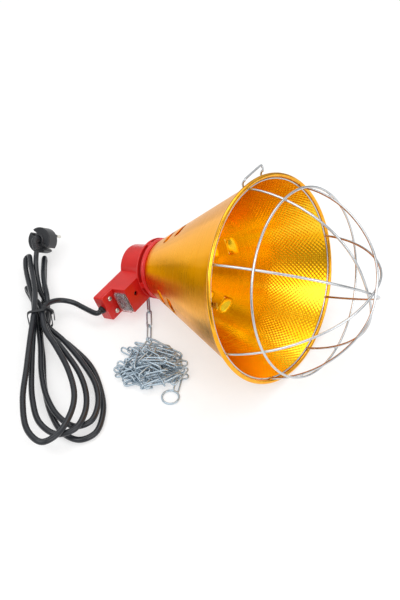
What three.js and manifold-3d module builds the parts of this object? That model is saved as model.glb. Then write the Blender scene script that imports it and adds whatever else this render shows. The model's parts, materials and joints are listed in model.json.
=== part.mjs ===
// Brooder heat lamp lying on its side: gold cone reflector, hinged wire guard, red cap with an
// economy switch, hanging chain, and a coiled supply cable with a contour plug. Millimetres, +Z up.
import * as THREE from "three";
import { mergeVertices } from "three/addons/utils/BufferGeometryUtils.js";
import Module from "manifold-3d";

const wasm = await Module();
wasm.setup();

// ---- driving dimensions ------------------------------------------------------------------
const GAP = 0.3; // air between neighbouring pieces
const RIM_R = 105; // outside radius of the reflector's mouth
const BEAD_R = 2.1; // radius of the rolled bead's section
const BEAD_CENTRE = RIM_R - BEAD_R;
const CONE_R = 102.6; // cone's outside radius in the mouth plane
const NECK_X = -150.9; // where the cone ends behind the mouth
const NECK_R = 33.3;
const SLOPE = (CONE_R - NECK_R) / -NECK_X;
const WALL = 1.0; // reflector wall
const LAMP_TILT = 21.8; // mouth tips up by this when the lamp lies on its side
const LAMP_YAW = -35.7; // mouth is turned toward the viewer by this
const ROUND = 40; // facets round the large turned parts

const LOUVRE_X = [-121, -100]; // distance of each louvre row behind the mouth
const LOUVRE_AT = [6, 97, 197, 270]; // clock angles of the louvre columns
const LOUVRE_SIZE = [22, 3.6, 9]; // along the rim, along the wall, through it

const HINGE_AT = -8; // clock angle of the guard's hinge
const HINGE_HALF = 15; // half the spacing of the hinge loop's legs
const HINGE_RING = 4.9; // radius at which the legs curl round the bead
const HINGE_REACH = [6.2, 10]; // how far the ends of the loop's bar stand off the bead's centre
const HINGE_WIRE = 1.1;
const LEG_END = { x: -2.2, r: 98.6 }; // each leg ends here, just behind the base ring
const LEG_SWEEP = [232, 108]; // angles round the bead between which a leg curls
const BAR_LEAN = 101; // angle round the bead at which the bar stands off
const CATCH_AT = 71; // clock angle of the guard's catch

const BASE_RING = { x: -0.8, r: 99.7, wire: 0.9 };
const MID_RING = { x: 38.0, r: 91.7, wire: 1.1, shift: 1.6 };
const RIB_WIRE = 1.2;
const RIB_FOOT = { x: 0.4, r: 99.0 };
const CROWN = { at: -142.4, shift: 16.1 }; // the ribs cross off the lamp's axis
const RIB_AT = [4.4, 48.1, 93.8, 138.7]; // clock angle of each rib's plane
const RIB_RISE = 93.5; // from a rib's feet to its top
const RIB_LAP = 2.7; // each rib lies this much over the one before it at the crown
const LAP_SPREAD = 10; // how close to the crown the lap begins, as a power of the rise
const RIB_SPREAD = 0.8; // powers that set the rib's outline between feet and top
const RIB_LIFT = 1.31;

const COLLAR_R = 34.8;
const COLLAR_BORE = 24;
const HOUSING = { back: -197.4, front: -163.3, r: 26, wall: 2.2 };
const ARM = { at: 94.8, end: 73.8, top: -11, bottom: 19.7, step: 55.5, low: -182.9 };
const COVER = 3.0; // thickness of the cord grip cover
const SWITCH_MID = { w: 6.3, x: -173 };

const CABLE_R = 3.0;
const LINK = { pitch: 22, wire: 1.0, half: 2.8 };

// ---- finishes ----------------------------------------------------------------------------
const finish = (color, roughness, metalness, extra = {}) =>
  new THREE.MeshStandardMaterial({ color, roughness, metalness, ...extra });
const GOLD = [0xf0a83a, 0.32, 1.0];
const ZINC = [0xc9d0d6, 0.3, 1.0];
const STEEL = [0xb8bcc0, 0.35, 1.0];
const BRASS = [0xc9a24a, 0.35, 1.0];
const RED = [0xd01818, 0.42, 0.0];
const BLACK = [0x1c1e21, 0.55, 0.0];
const CERAMIC = [0xe8e4da, 0.3, 0.0];
const BROWN = [0x7a4a2a, 0.5, 0.0];
const BLUE = [0x2a4a8a, 0.5, 0.0];

// ---- helpers -----------------------------------------------------------------------------
const group = new THREE.Group();
group.name = "heat_lamp_fixture";
const V = (x, y, z) => new THREE.Vector3(x, y, z);
const rad = THREE.MathUtils.degToRad;

// The lamp's own frame: +X out of the mouth, clock angles from its top toward the side arm.
const clock = (deg, r = 1, x = 0) => V(x, -r * Math.sin(rad(deg)), r * Math.cos(rad(deg)));
const lampMatrix = new THREE.Matrix4()
  .makeTranslation(0, 0, RIM_R * Math.cos(rad(LAMP_TILT)))
  .multiply(new THREE.Matrix4().makeRotationZ(rad(LAMP_YAW)))
  .multiply(new THREE.Matrix4().makeRotationY(rad(-LAMP_TILT)));

// The arm's own frame: u out along the arm, w down across it, x along the lamp's axis.
const armMatrix = new THREE.Matrix4().makeBasis(clock(ARM.at), clock(ARM.at + 90), V(1, 0, 0));
const armPoint = (u, w, x) => V(u, w, x).applyMatrix4(armMatrix);

function closed(geometry) {
  const g = geometry.clone();
  g.deleteAttribute("normal");
  g.deleteAttribute("uv");
  const m = mergeVertices(g, 1e-4);
  const p = m.attributes.position;
  const src = m.index.array;
  const faces = [];
  for (let i = 0; i < src.length; i += 3) {
    const [a, b, c] = [src[i], src[i + 1], src[i + 2]];
    if (a !== b && b !== c && c !== a) faces.push([a, b, c]);
  }
  let volume = 0;
  const [A, B, C] = [V(), V(), V()];
  for (const [a, b, c] of faces) {
    A.fromBufferAttribute(p, a);
    B.fromBufferAttribute(p, b);
    C.fromBufferAttribute(p, c);
    volume += A.dot(B.cross(C));
  }
  if (volume < 0) faces.forEach((f) => f.reverse());
  m.setIndex(faces.flat());
  return m;
}
function solid(geometry) {
  const m = closed(geometry);
  const mesh = new wasm.Mesh({
    numProp: 3,
    vertProperties: new Float32Array(m.attributes.position.array),
    triVerts: new Uint32Array(m.index.array),
  });
  return new wasm.Manifold(mesh);
}
function toGeometry(manifold) {
  const mesh = manifold.getMesh();
  const g = new THREE.BufferGeometry();
  g.setAttribute("position", new THREE.BufferAttribute(new Float32Array(mesh.vertProperties), 3));
  g.setIndex([...mesh.triVerts]);
  return g;
}
function add(name, shape, look, matrix) {
  let g = shape.isBufferGeometry ? closed(shape) : toGeometry(shape);
  if (matrix) g = g.applyMatrix4(matrix);
  g.computeVertexNormals();
  const mesh = new THREE.Mesh(g, finish(...look));
  mesh.name = name;
  group.add(mesh);
}
const addLamp = (name, shape, look) => add(name, shape, look, lampMatrix);

// A body turned about the lamp's axis from [x, r] points.
function turned(points, facets = ROUND) {
  const g = new THREE.LatheGeometry(
    points.map(([x, r]) => new THREE.Vector2(r, x)),
    facets,
  );
  return g.rotateZ(rad(-90));
}
// A body turned about any line: points are [distance along the line, radius].
function turnedOn(points, from, along, facets = 12) {
  const g = turned(points, facets);
  const q = new THREE.Quaternion().setFromUnitVectors(V(1, 0, 0), along.clone().normalize());
  return g.applyQuaternion(q).translate(from.x, from.y, from.z);
}
// A block in the arm's frame, between two corners.
function block(u0, u1, w0, w1, x0, x1) {
  const g = new THREE.BoxGeometry(u1 - u0, w1 - w0, x1 - x0);
  return g.translate((u0 + u1) / 2, (w0 + w1) / 2, (x0 + x1) / 2).applyMatrix4(armMatrix);
}
// An outline in the arm's (u, w) plane carried along the lamp's axis.
function slab(shape, x0, x1, curve = 10) {
  const g = new THREE.ExtrudeGeometry(shape, {
    depth: x1 - x0,
    bevelEnabled: false,
    curveSegments: curve,
  });
  return g.translate(0, 0, x0).applyMatrix4(armMatrix);
}
// A plain round rod along the lamp's axis at (u, w).
function rod(u, w, x0, x1, r, facets = 10) {
  const p = [[0, 0], [0, r], [x1 - x0, r], [x1 - x0, 0]];
  return turnedOn(p, armPoint(u, w, x0), V(1, 0, 0), facets);
}
// Round wire swept along an open curve, with flat ends.
function wire(curve, r, steps, sides = 6) {
  const section = new THREE.Shape();
  for (let i = 0; i < sides; i++) {
    const t = (i / sides) * Math.PI * 2;
    const [x, y] = [r * Math.cos(t), r * Math.sin(t)];
    if (i) section.lineTo(x, y);
    else section.moveTo(x, y);
  }
  return new THREE.ExtrudeGeometry(section, { steps, bevelEnabled: false, extrudePath: curve });
}
const through = (points) => new THREE.CatmullRomCurve3(points, false, "centripetal");
function curveOf(fn, n) {
  return through(Array.from({ length: n + 1 }, (_, i) => fn(i / n)));
}
// A screw along the lamp's axis: a low head and a shank that runs back from it.
function screw(u, w, x, headR, headH, shankR, shankL) {
  const p = [
    [headH, 0], [headH, headR * 0.75], [headH * 0.55, headR], [0, headR],
    [0, shankR], [-shankL, shankR], [-shankL, 0],
  ];
  const slot = new THREE.BoxGeometry(headH, headR * 2.4, headR * 0.3);
  const at = armPoint(u, w, x + headH);
  slot.rotateX(rad(ARM.at + 35)).translate(at.x, at.y, at.z);
  return solid(turnedOn(p, armPoint(u, w, x), V(1, 0, 0), 12)).subtract(solid(slot));
}

// ---- reflector ---------------------------------------------------------------------------
const slopeAngle = Math.atan(SLOPE);
const inset = WALL / Math.cos(slopeAngle);
const wallR = (x) => CONE_R + SLOPE * x;
function beadArc(fromDeg, toDeg, n) {
  return Array.from({ length: n + 1 }, (_, i) => {
    const t = rad(fromDeg + ((toDeg - fromDeg) * i) / n);
    return [BEAD_R * Math.cos(t), BEAD_CENTRE + BEAD_R * Math.sin(t)];
  });
}
const FLANGE_R = 24.6;
const coneProfile = [
  [NECK_X, FLANGE_R],
  [NECK_X, NECK_R],
  ...beadArc(196.5, -125, 8),
  [NECK_X + WALL + 0.6, wallR(NECK_X + WALL + 0.6) - inset],
  [NECK_X + WALL, wallR(NECK_X + WALL) - inset - 0.6],
  [NECK_X + WALL, FLANGE_R],
  [NECK_X, FLANGE_R],
];
let cone = solid(turned(coneProfile));
for (const at of LOUVRE_AT) {
  for (const x of LOUVRE_X) {
    const cut = new THREE.BoxGeometry(LOUVRE_SIZE[1], LOUVRE_SIZE[0], LOUVRE_SIZE[2]);
    cut.rotateY(-slopeAngle).translate(x, 0, wallR(x)).rotateX(rad(at));
    cone = cone.subtract(solid(cut));
  }
}
const NECK_SCREWS = [48, 168, 288];
const NECK_SCREW_R = 27.8;
const rodAtClock = (deg, r, x0, x1, radius) =>
  turnedOn([[0, 0], [0, radius], [x1 - x0, radius], [x1 - x0, 0]], clock(deg, r, x0), V(1, 0, 0), 10);
for (const at of NECK_SCREWS) {
  cone = cone.subtract(solid(rodAtClock(at, NECK_SCREW_R, NECK_X - 2, NECK_X + 4, 1.9)));
}
// Slots behind the bead for the guard's hinge legs.
const RIM_SLOT = { along: 4.4, width: 4.2, deep: 7 };
function rimSlot(at, offset) {
  const slot = new THREE.BoxGeometry(RIM_SLOT.along, RIM_SLOT.width, RIM_SLOT.deep);
  slot.translate(-HINGE_RING - 0.25, 0, 0).rotateY(-slopeAngle);
  return slot.translate(0, offset, BEAD_CENTRE).rotateX(rad(at));
}
for (const side of [-1, 1]) {
  cone = cone.subtract(solid(rimSlot(HINGE_AT, side * HINGE_HALF)));
}
addLamp("reflector_cone", cone, GOLD);

NECK_SCREWS.forEach((at, i) => {
  const p = [[1.9, 0], [1.6, 2.2], [0, 2.8], [0, 1.5], [-6.2, 1.5], [-6.2, 0]];
  const from = clock(at, NECK_SCREW_R, NECK_X + WALL + GAP);
  addLamp("reflector_screw_" + (i + 1), turnedOn(p, from, V(1, 0, 0), 12), ZINC);
});

// ---- guard -------------------------------------------------------------------------------
function ringAbout(x, r, wireR, shift = 0) {
  const c = clock(CROWN.at, shift, x);
  const g = new THREE.TorusGeometry(r, wireR, 5, ROUND);
  return g.rotateY(rad(90)).translate(c.x, c.y, c.z);
}
addLamp("guard_base_ring", ringAbout(BASE_RING.x, BASE_RING.r, BASE_RING.wire), ZINC);
addLamp("guard_middle_ring", ringAbout(MID_RING.x, MID_RING.r, MID_RING.wire, MID_RING.shift), ZINC);

const crown = clock(CROWN.at, CROWN.shift);
function reachFromCrown(deg) {
  const d = clock(deg);
  const b = crown.dot(d);
  return -b + Math.sqrt(b * b - crown.lengthSq() + RIB_FOOT.r * RIB_FOOT.r);
}
RIB_AT.forEach((at, k) => {
  const near = reachFromCrown(at);
  const far = reachFromCrown(at + 180);
  const curve = curveOf((t) => {
    const a = Math.PI * t;
    const reach = a < Math.PI / 2 ? near : -far;
    const out = reach * Math.abs(Math.cos(a)) ** RIB_SPREAD;
    const up = Math.max(Math.sin(a), 0);
    const x = RIB_FOOT.x + RIB_RISE * up ** RIB_LIFT + k * RIB_LAP * up ** LAP_SPREAD;
    return crown.clone().add(clock(at, out)).add(V(x, 0, 0));
  }, 28);
  addLamp("guard_rib_" + (k + 1), wire(curve, RIB_WIRE, 28, 5), ZINC);
});

// The hinge loop: two legs curl round the back of the bead through slots and join in a bar.
function hingeSide(side) {
  const points = [V(LEG_END.x, side * HINGE_HALF, LEG_END.r)];
  for (let i = 0; i <= 6; i++) {
    const t = rad(LEG_SWEEP[0] + ((LEG_SWEEP[1] - LEG_SWEEP[0]) * i) / 6);
    points.push(V(HINGE_RING * Math.cos(t), side * HINGE_HALF, BEAD_CENTRE + HINGE_RING * Math.sin(t)));
  }
  const out = V(Math.cos(rad(BAR_LEAN)), 0, Math.sin(rad(BAR_LEAN)));
  const corner = out.clone().multiplyScalar(HINGE_REACH[side > 0 ? 1 : 0]);
  points.push(V(corner.x * 0.84, side * HINGE_HALF, BEAD_CENTRE + corner.z * 0.84));
  points.push(V(corner.x * 0.98, side * (HINGE_HALF - 0.5), BEAD_CENTRE + corner.z * 0.98));
  points.push(V(corner.x, side * (HINGE_HALF - 1.9), BEAD_CENTRE + corner.z));
  return points;
}
const hingePath = through([...hingeSide(1), ...hingeSide(-1).reverse()]);
addLamp("guard_hinge_loop", wire(hingePath, HINGE_WIRE, 26, 5).rotateX(rad(HINGE_AT)), ZINC);

// The catch: a leaf spring inside the rim that presses out under the guard's base ring.
const catchShape = new THREE.Shape();
[
  [-16, 92.6], [-4.2, 97.9], [-1.5, 97.2], [3.4, 97.2], [4.4, 96.6],
  [4.8, 97.2], [3.6, 97.9], [-1.3, 97.9], [-4.0, 98.7], [-16, 93.4],
].forEach(([x, r], i) => (i ? catchShape.lineTo(x, r) : catchShape.moveTo(x, r)));
const catchStrip = new THREE.ExtrudeGeometry(catchShape, { depth: 5, bevelEnabled: false });
catchStrip.translate(0, 0, -2.5).rotateX(rad(90)).rotateX(rad(CATCH_AT));
addLamp("guard_catch", catchStrip, STEEL);

// ---- collar ------------------------------------------------------------------------------
const RING_BACK = -156.4;
const DISC_FRONT = -161.0;
const DISC_BACK = -163.0;
let collar = solid(
  turned([
    [RING_BACK, COLLAR_BORE], [RING_BACK, COLLAR_R], [-154.5, COLLAR_R], [-153.6, 34.1],
    [-151.2, 33.9], [-151.2, COLLAR_BORE], [RING_BACK, COLLAR_BORE],
  ], 32),
);
collar = collar.add(
  solid(
    turned([
      [DISC_BACK, COLLAR_BORE], [DISC_BACK, COLLAR_R], [DISC_FRONT, COLLAR_R],
      [DISC_FRONT, COLLAR_BORE], [DISC_BACK, COLLAR_BORE],
    ], 32),
  ),
);
const BRIDGE_AT = [93, 183, 273, 3];
for (const at of BRIDGE_AT) {
  const bridge = new THREE.BoxGeometry(RING_BACK - DISC_FRONT + 1, 7, 3);
  bridge.translate((RING_BACK + DISC_FRONT) / 2, 0, 32.6).rotateX(rad(at));
  collar = collar.add(solid(bridge));
}
for (const at of NECK_SCREWS) {
  collar = collar.subtract(solid(rodAtClock(at, NECK_SCREW_R, -155.8, -150, 1.9)));
}
addLamp("cap_collar", collar, RED);

const skirt = turned([
  [DISC_FRONT + GAP, 24.2], [DISC_FRONT + GAP, 29.8], [RING_BACK - GAP, 29.8],
  [RING_BACK - GAP, 24.2], [DISC_FRONT + GAP, 24.2],
], 32);
addLamp("lampholder_skirt", skirt, STEEL);

// ---- cap housing and its arm -------------------------------------------------------------
function armOutline(r, end, top, bottom, corner) {
  const s = new THREE.Shape();
  s.moveTo(Math.sqrt(r * r - top * top), top);
  s.lineTo(end - corner, top);
  s.quadraticCurveTo(end, top, end, top + corner);
  s.lineTo(end, bottom - corner);
  s.quadraticCurveTo(end, bottom, end - corner, bottom);
  s.lineTo(Math.sqrt(r * r - bottom * bottom), bottom);
  s.absarc(0, 0, r, Math.asin(bottom / r), Math.PI * 2 + Math.asin(top / r), false);
  return s;
}
const W = HOUSING.wall;
const inside = HOUSING.r - W;
const CORNER = 2.4;
const PIT = HOUSING.back + W;
const END_FACE = ARM.low - COVER - GAP;
const BORE = { w: 4.35, x: -190.6, r: 4.1 };
const COVER_SCREWS = [[64.7, -4.4], [63.2, 13.6]];
const HOUSING_SCREW = [43, 2.7];

let housing = solid(
  slab(armOutline(HOUSING.r, ARM.end, ARM.top, ARM.bottom, CORNER), HOUSING.back, HOUSING.front, 14),
);
housing = housing.subtract(solid(block(ARM.step, ARM.end + 2, -30, 30, END_FACE, 0)));
housing = housing.subtract(
  solid(slab(armOutline(inside, ARM.step - W, ARM.top + W, ARM.bottom - W, 1), PIT, HOUSING.front - W, 12)),
);
housing = housing.subtract(
  solid(turned([[-168, 0], [-168, inside], [-160, inside], [-160, 0]], 20)),
);
const SWITCH_HOLE = { w: 10.6, x: 6.9 };
housing = housing.subtract(
  solid(
    block(ARM.step - 4, ARM.step + 3, SWITCH_MID.w - SWITCH_HOLE.w, SWITCH_MID.w + SWITCH_HOLE.w,
      SWITCH_MID.x - SWITCH_HOLE.x, SWITCH_MID.x + SWITCH_HOLE.x),
  ),
);
const boreLine = (u0, u1, r) =>
  turnedOn([[0, 0], [0, r], [u1 - u0, r], [u1 - u0, 0]], armPoint(u0, BORE.w, BORE.x), clock(ARM.at), 12);
housing = housing.subtract(solid(boreLine(ARM.step - W - 1, ARM.end + 3, BORE.r)));
for (const [u, w] of COVER_SCREWS) {
  housing = housing.subtract(solid(rod(u, w, -194.5, END_FACE + 1, 1.7)));
}
housing = housing.subtract(solid(rod(...HOUSING_SCREW, HOUSING.front - W - 1, HOUSING.front + 1, 2.3)));
addLamp("cap_housing", housing, RED);

const coverOutline = new THREE.Shape();
const coverEdge = [
  [ARM.step + GAP, ARM.top], [ARM.end - CORNER, ARM.top], [ARM.end, ARM.top + CORNER],
  [ARM.end, ARM.bottom - CORNER], [ARM.end - CORNER, ARM.bottom], [ARM.step + GAP, ARM.bottom],
];
coverEdge.forEach(([u, w], i) => (i ? coverOutline.lineTo(u, w) : coverOutline.moveTo(u, w)));
let cover = solid(slab(coverOutline, ARM.low - COVER, ARM.low));
for (const [u, w] of COVER_SCREWS) {
  cover = cover.subtract(solid(rod(u, w, ARM.low - COVER - 1, ARM.low + 1, 1.7)));
}
addLamp("cord_grip_cover", cover, RED);
COVER_SCREWS.forEach(([u, w], i) => {
  addLamp("cover_screw_" + (i + 1), screw(u, w, ARM.low + GAP, 2.7, 1.7, 1.35, 11), ZINC);
});
addLamp("housing_screw", screw(...HOUSING_SCREW, -168.6, 2.8, 1.8, 1.35, 26), ZINC);

// ---- economy switch ----------------------------------------------------------------------
const boot0 = ARM.step + GAP;
const BOOT = { u: boot0 + 3.7, w: 12.7, x: 8.6, wall: 1.2 };
const { w: sw, x: sx } = SWITCH_MID;
let switchBody = solid(block(46.6, boot0 + 1.2, sw - 10.2, sw + 10.2, sx - 6.5, sx + 6.5));
switchBody = switchBody.add(solid(block(boot0, boot0 + 1.2, sw - 11.1, sw + 11.1, sx - 7.0, sx + 7.0)));
switchBody = switchBody.subtract(solid(block(48.6, 60, sw - 9.4, sw + 9.4, sx - 5.2, sx + 5.2)));
addLamp("rocker_switch_body", switchBody, BLACK);

const PIVOT_U = 52.6;
const REST = rad(-8); // the rocker rests pressed at its lower end
const rockerShape = new THREE.Shape();
[[-8.2, -1.0], [-8.2, 4.5], [0, 3.4], [8.2, 4.5], [8.2, -1.0], [0, -2.4]].forEach(([w, u], i) => {
  const uu = PIVOT_U + u * Math.cos(REST) + w * Math.sin(REST);
  const ww = sw + w * Math.cos(REST) - u * Math.sin(REST);
  if (i) rockerShape.lineTo(uu, ww);
  else rockerShape.moveTo(uu, ww);
});
addLamp("rocker", slab(rockerShape, sx - 4.7, sx + 4.7), BLACK);

let boot = solid(block(boot0, BOOT.u, sw - BOOT.w, sw + BOOT.w, sx - BOOT.x, sx + BOOT.x));
boot = boot.subtract(
  solid(
    block(boot0 - 1, BOOT.u - BOOT.wall, sw - BOOT.w + BOOT.wall, sw + BOOT.w - BOOT.wall,
      sx - BOOT.x + BOOT.wall, sx + BOOT.x - BOOT.wall),
  ),
);
addLamp("switch_boot", boot, [0xd8d4d6, 0.15, 0.0, { transparent: true, opacity: 0.45 }]);

// ---- lampholder and wiring ---------------------------------------------------------------
let holder = solid(
  turned([
    [-188.2, 0], [-188.2, 21.2], [-166, 21.2], [-165, 22.2], [-130, 22.2], [-128, 20.6],
    [-128, 15.4], [-180, 15.4], [-180, 0],
  ], 24),
);
const HOLDER_SCREWS = [[-11, -6], [-11, 8]];
for (const [u, w] of HOLDER_SCREWS) {
  holder = holder.subtract(solid(rod(u, w, -190, -183.5, 1.7)));
}
addLamp("lampholder_body", holder, CERAMIC);
addLamp(
  "lampholder_shell",
  turned([
    [-179.4, 5.2], [-179.4, 14.6], [-168, 14.6], [-164, 13.6], [-160, 14.6], [-156, 13.6],
    [-152, 14.6], [-136, 14.6], [-136, 13.9], [-152, 13.9], [-156, 12.9], [-160, 13.9],
    [-164, 12.9], [-168, 13.9], [-178.6, 13.9], [-178.6, 5.2], [-179.4, 5.2],
  ], 18),
  BRASS,
);
addLamp("centre_contact", turned([[-179.6, 0], [-179.6, 4.6], [-178.2, 4.6], [-175, 2], [-175, 0]], 12), BRASS);

let bracket = solid(block(-16, -6, -12, 14, -190.1, -188.6));
for (const [u, w] of HOLDER_SCREWS) bracket = bracket.subtract(solid(rod(u, w, -192, -187, 1.7)));
addLamp("lampholder_bracket", bracket, STEEL);
HOLDER_SCREWS.forEach(([u, w], i) => {
  const p = [[-1.8, 0], [-1.8, 2.0], [0, 2.7], [0, 1.3], [6, 1.3], [6, 0]];
  const at = armPoint(u, w, -190.4);
  addLamp("lampholder_screw_" + (i + 1), turnedOn(p, at, V(1, 0, 0), 12), ZINC);
});

addLamp("terminal_block", block(28, 36, -4, 15, -192, -182), CERAMIC);
const diode = turnedOn([[0, 0], [0, 2.4], [8, 2.4], [8, 0]], armPoint(29, 11, -178), clock(ARM.at), 10);
addLamp("power_diode", diode, BLACK);
const LEAD_R = 1.0;
const lead = (points, look, name) =>
  addLamp(name, wire(through(points.map((p) => armPoint(...p))), LEAD_R, 10, 5), look);
lead(
  [[27.4, -1, -187], [25.8, -1, -187.6], [24.2, -1, -190], [20, -1, -193], [6, -2, -193.4], [0, -2, -193.4]],
  BROWN, "live_lead",
);
lead(
  [[27.4, 9, -187], [25.8, 9, -187.6], [24.2, 8, -190], [19, 7, -193], [6, 6, -193.4], [0, 6, -193.4]],
  BLUE, "neutral_lead",
);
lead(
  [[36.6, 0, -187], [38, 0, -186.6], [40.6, -3, -182], [44.4, -2, -177.2], [46, -2, -177]],
  BLACK, "switch_lead",
);
lead(
  [[36.6, 11, -187], [38, 11, -186.6], [40.6, 13.4, -182], [44.4, 13.4, -177.2], [46, 13.4, -177]],
  BLACK, "switch_return_lead",
);

// ---- supply cable ------------------------------------------------------------------------
const toFloor = (p) => armPoint(...p).applyMatrix4(lampMatrix);
const gland = turnedOn(
  [
    [-5.5, 3.5], [-5.5, 3.75], [GAP, 3.75], [GAP, 4.5], [1.8, 4.4], [3.4, 4.0], [3.4, 3.5], [-5.5, 3.5],
  ],
  armPoint(ARM.end, BORE.w, BORE.x), clock(ARM.at), 14,
);
addLamp("cable_gland", gland, BLACK);

// The coil, in four layers from the top turn down to the floor. Heights step by one cable.
const TOP = 24.6;
const STEP = 6.5;
const [h4, h3, h2, h1] = [TOP, TOP - STEP, TOP - 2 * STEP, TOP - 3 * STEP];
const LOW = 1.8; // the turns sag by this away from the tie
// A tight turn back from a to b, bulging along out.
function hairpin(a, b, out) {
  const middle = a.clone().lerp(b, 0.5);
  const half = a.clone().sub(middle);
  const reach = out.clone().setLength(half.length());
  return [0, 45, 90, 135, 180].map((deg) =>
    middle.clone().addScaledVector(half, Math.cos(rad(deg))).addScaledVector(reach, Math.sin(rad(deg))),
  );
}
const coil = [
  // lead from the arm
  ...[58, 66, 73, 77].map((u) => toFloor([u, BORE.w, BORE.x])),
  V(-188.4, 36.3, 15.8), V(-192, 37.4, 15), V(-198, 41.8, 14), V(-208, 49.2, 13.4), V(-216.5, 55, 13.4),
  V(-225, 57.4, 14.4), V(-233.5, 56, 16.8), V(-240.7, 49.6, 20.6), V(-245.4, 40.6, 23.6),
  // first turn
  V(-247, 28, h4), V(-241, 5, h4 - LOW), V(-226, -20, h4 - LOW), V(-208, -54, h4 - LOW), V(-198, -86, h4 - LOW),
  V(-199, -110, h4 - LOW), V(-208, -133, h4 - LOW), V(-221, -141.6, h4 - LOW), V(-236, -129, h4 - LOW),
  V(-247, -94, h4 - LOW), V(-251, -50, h4 - LOW), V(-254.5, -2, h4), V(-256.5, 30, h4), V(-260.5, 60, h4 - 0.6),
  V(-267.6, 88, h4 - 2), V(-275.4, 114, h4 - 4.4),
  ...hairpin(V(-279.6, 130.4, 18.8), V(-285, 130, 14.6), V(-0.2, 1, -0.2)),
  V(-282.6, 116, 13.8), V(-276.6, 96, 14.8), V(-268.6, 72, 16.4), V(-260.8, 48, h3),
  // second turn
  V(-257, 26, h3), V(-253.5, 0, h3), V(-249, -36, h3 - LOW), V(-240, -86, h3 - LOW), V(-228, -115, h3 - LOW),
  V(-210, -128, h3 - LOW), V(-194, -122, h3 - LOW), V(-187, -106, h3 - LOW), V(-187, -84, h3 - LOW),
  V(-197, -54, h3 - LOW), V(-220, -18, h3 - LOW), V(-239, 7, h3 - LOW), V(-248, 30, h3), V(-253, 46, 16),
  V(-258, 56, 12.6), V(-264.6, 66, 10), V(-271.4, 77, 9.2),
  ...hairpin(V(-275.6, 84, 9.2), V(-275.6, 84, 2.9), V(-0.5, 0.85, 0)),
  V(-270.6, 75, 2.9), V(-263.8, 62, 3.2), V(-260.2, 52.5, 6), V(-258, 43, 10.2),
  // third turn
  V(-254, 26, h2), V(-246, -6, h2 - LOW), V(-238, -48, h2 - LOW), V(-227, -80, h2 - LOW), V(-212, -103, h2 - LOW),
  V(-195, -114, h2 - LOW), V(-181, -108, h2 - LOW), V(-176, -88, h2 - LOW), V(-181, -62, h2 - LOW),
  V(-198, -32, h2 - LOW), V(-222, 0, h2 - LOW), V(-243, 22, h2), V(-245.4, 38, h2), V(-247, 54, 14.6),
  V(-250, 68, 16.4), V(-255.4, 86, 14.4), V(-260.8, 108, 11.8), V(-263.6, 126, 10),
  ...hairpin(V(-265, 138.6, 9.2), V(-265, 138.6, 2.9), V(0, 1, 0)),
  V(-263.4, 126, 2.9), V(-260, 104, 2.9), V(-256, 78, 2.9), V(-254.4, 56, 3.2), V(-253.2, 40, 4.6),
  // fourth turn
  V(-250, 14, h1 - 1), V(-242, -20, h1 - LOW), V(-234, -60, h1 - LOW), V(-222, -94, h1 - LOW),
  V(-206, -118, h1 - LOW), V(-190, -125, h1 - LOW), V(-176, -117, h1 - LOW), V(-171, -92, h1 - LOW),
  V(-176, -64, h1 - LOW), V(-190, -31, h1 - LOW), V(-217, 0, h1 - LOW), V(-242.6, 22, h1), V(-245, 38, h1),
  V(-248, 52, 6.6),
  // up to the plug
  V(-252, 64, 9.4), V(-259.4, 78, 10), V(-265.8, 97, 12.4), V(-269.4, 113, 16.8), V(-270.6, 124, 21.4),
  V(-270.3, 131.4, 26.6),
];
// The sweep takes the same number of steps in each span, so the tight turns are followed closely.
const coilPath = through(coil);
coilPath.getUtoTmapping = (u) => u;
add("cable", wire(coilPath, CABLE_R, 3 * (coil.length - 1), 6), BLACK);

// The tie's loop: a rounded square around the bundle of four layers.
const TIE = { x: -250.9, y: 27, half: 12.1, middle: 15.0, rise: 13.8, lean: 0.25, wire: 0.8 };
const squared = (v) => Math.sign(v) * Math.cbrt(Math.abs(v));
const tiePath = new THREE.CatmullRomCurve3(
  Array.from({ length: 20 }, (_, i) => {
    const t = ((i + 0.5) / 20) * Math.PI * 2;
    const s = TIE.half * squared(Math.cos(t));
    return V(TIE.x + s, TIE.y + s * TIE.lean, TIE.middle + TIE.rise * squared(Math.sin(t)));
  }),
  true,
  "centripetal",
);
add("cable_tie", new THREE.TubeGeometry(tiePath, 28, TIE.wire, 5, true), BLACK);

// ---- plug --------------------------------------------------------------------------------
const PLUG = { r: 15.4, thick: 17, pin: 19, pinR: 2.0, half: 9.5, face: V(-263.3, 159.2, 20.5) };
const pinDir = V(0.38, 0.676, -0.631).normalize();
const notchDir = V(0.611, -0.695, -0.377).projectOnPlane(pinDir).normalize();
const pinLine = new THREE.Vector3().crossVectors(pinDir, notchDir).normalize();
const plugMatrix = new THREE.Matrix4()
  .makeTranslation(PLUG.face.x, PLUG.face.y, PLUG.face.z)
  .multiply(new THREE.Matrix4().makeBasis(notchDir, pinLine, pinDir));
const plugShape = new THREE.Shape();
const MOUTH = 0.13; // half angle of each notch's mouth
const NOTCH = { r: 3.0, at: 9.6, half: 1.9 };
for (const side of [0, Math.PI]) {
  const at = (s, t) => [s * Math.cos(side) - t * Math.sin(side), s * Math.sin(side) + t * Math.cos(side)];
  const start = at(PLUG.r * Math.cos(MOUTH), PLUG.r * Math.sin(MOUTH));
  if (side) plugShape.lineTo(...at(PLUG.r * Math.cos(MOUTH), -PLUG.r * Math.sin(MOUTH)));
  else plugShape.moveTo(...at(PLUG.r * Math.cos(MOUTH), -PLUG.r * Math.sin(MOUTH)));
  const a0 = Math.asin(NOTCH.half / NOTCH.r);
  const c = at(NOTCH.at, 0);
  plugShape.absarc(c[0], c[1], NOTCH.r, side - a0, side + a0, true);
  plugShape.lineTo(...start);
  plugShape.absarc(0, 0, PLUG.r, side + MOUTH, side + Math.PI - MOUTH, false);
}
const plugBlank = new THREE.ExtrudeGeometry(plugShape, {
  depth: PLUG.thick,
  bevelEnabled: false,
  curveSegments: 8,
});
let plug = solid(plugBlank.translate(0, 0, -PLUG.thick));
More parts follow.
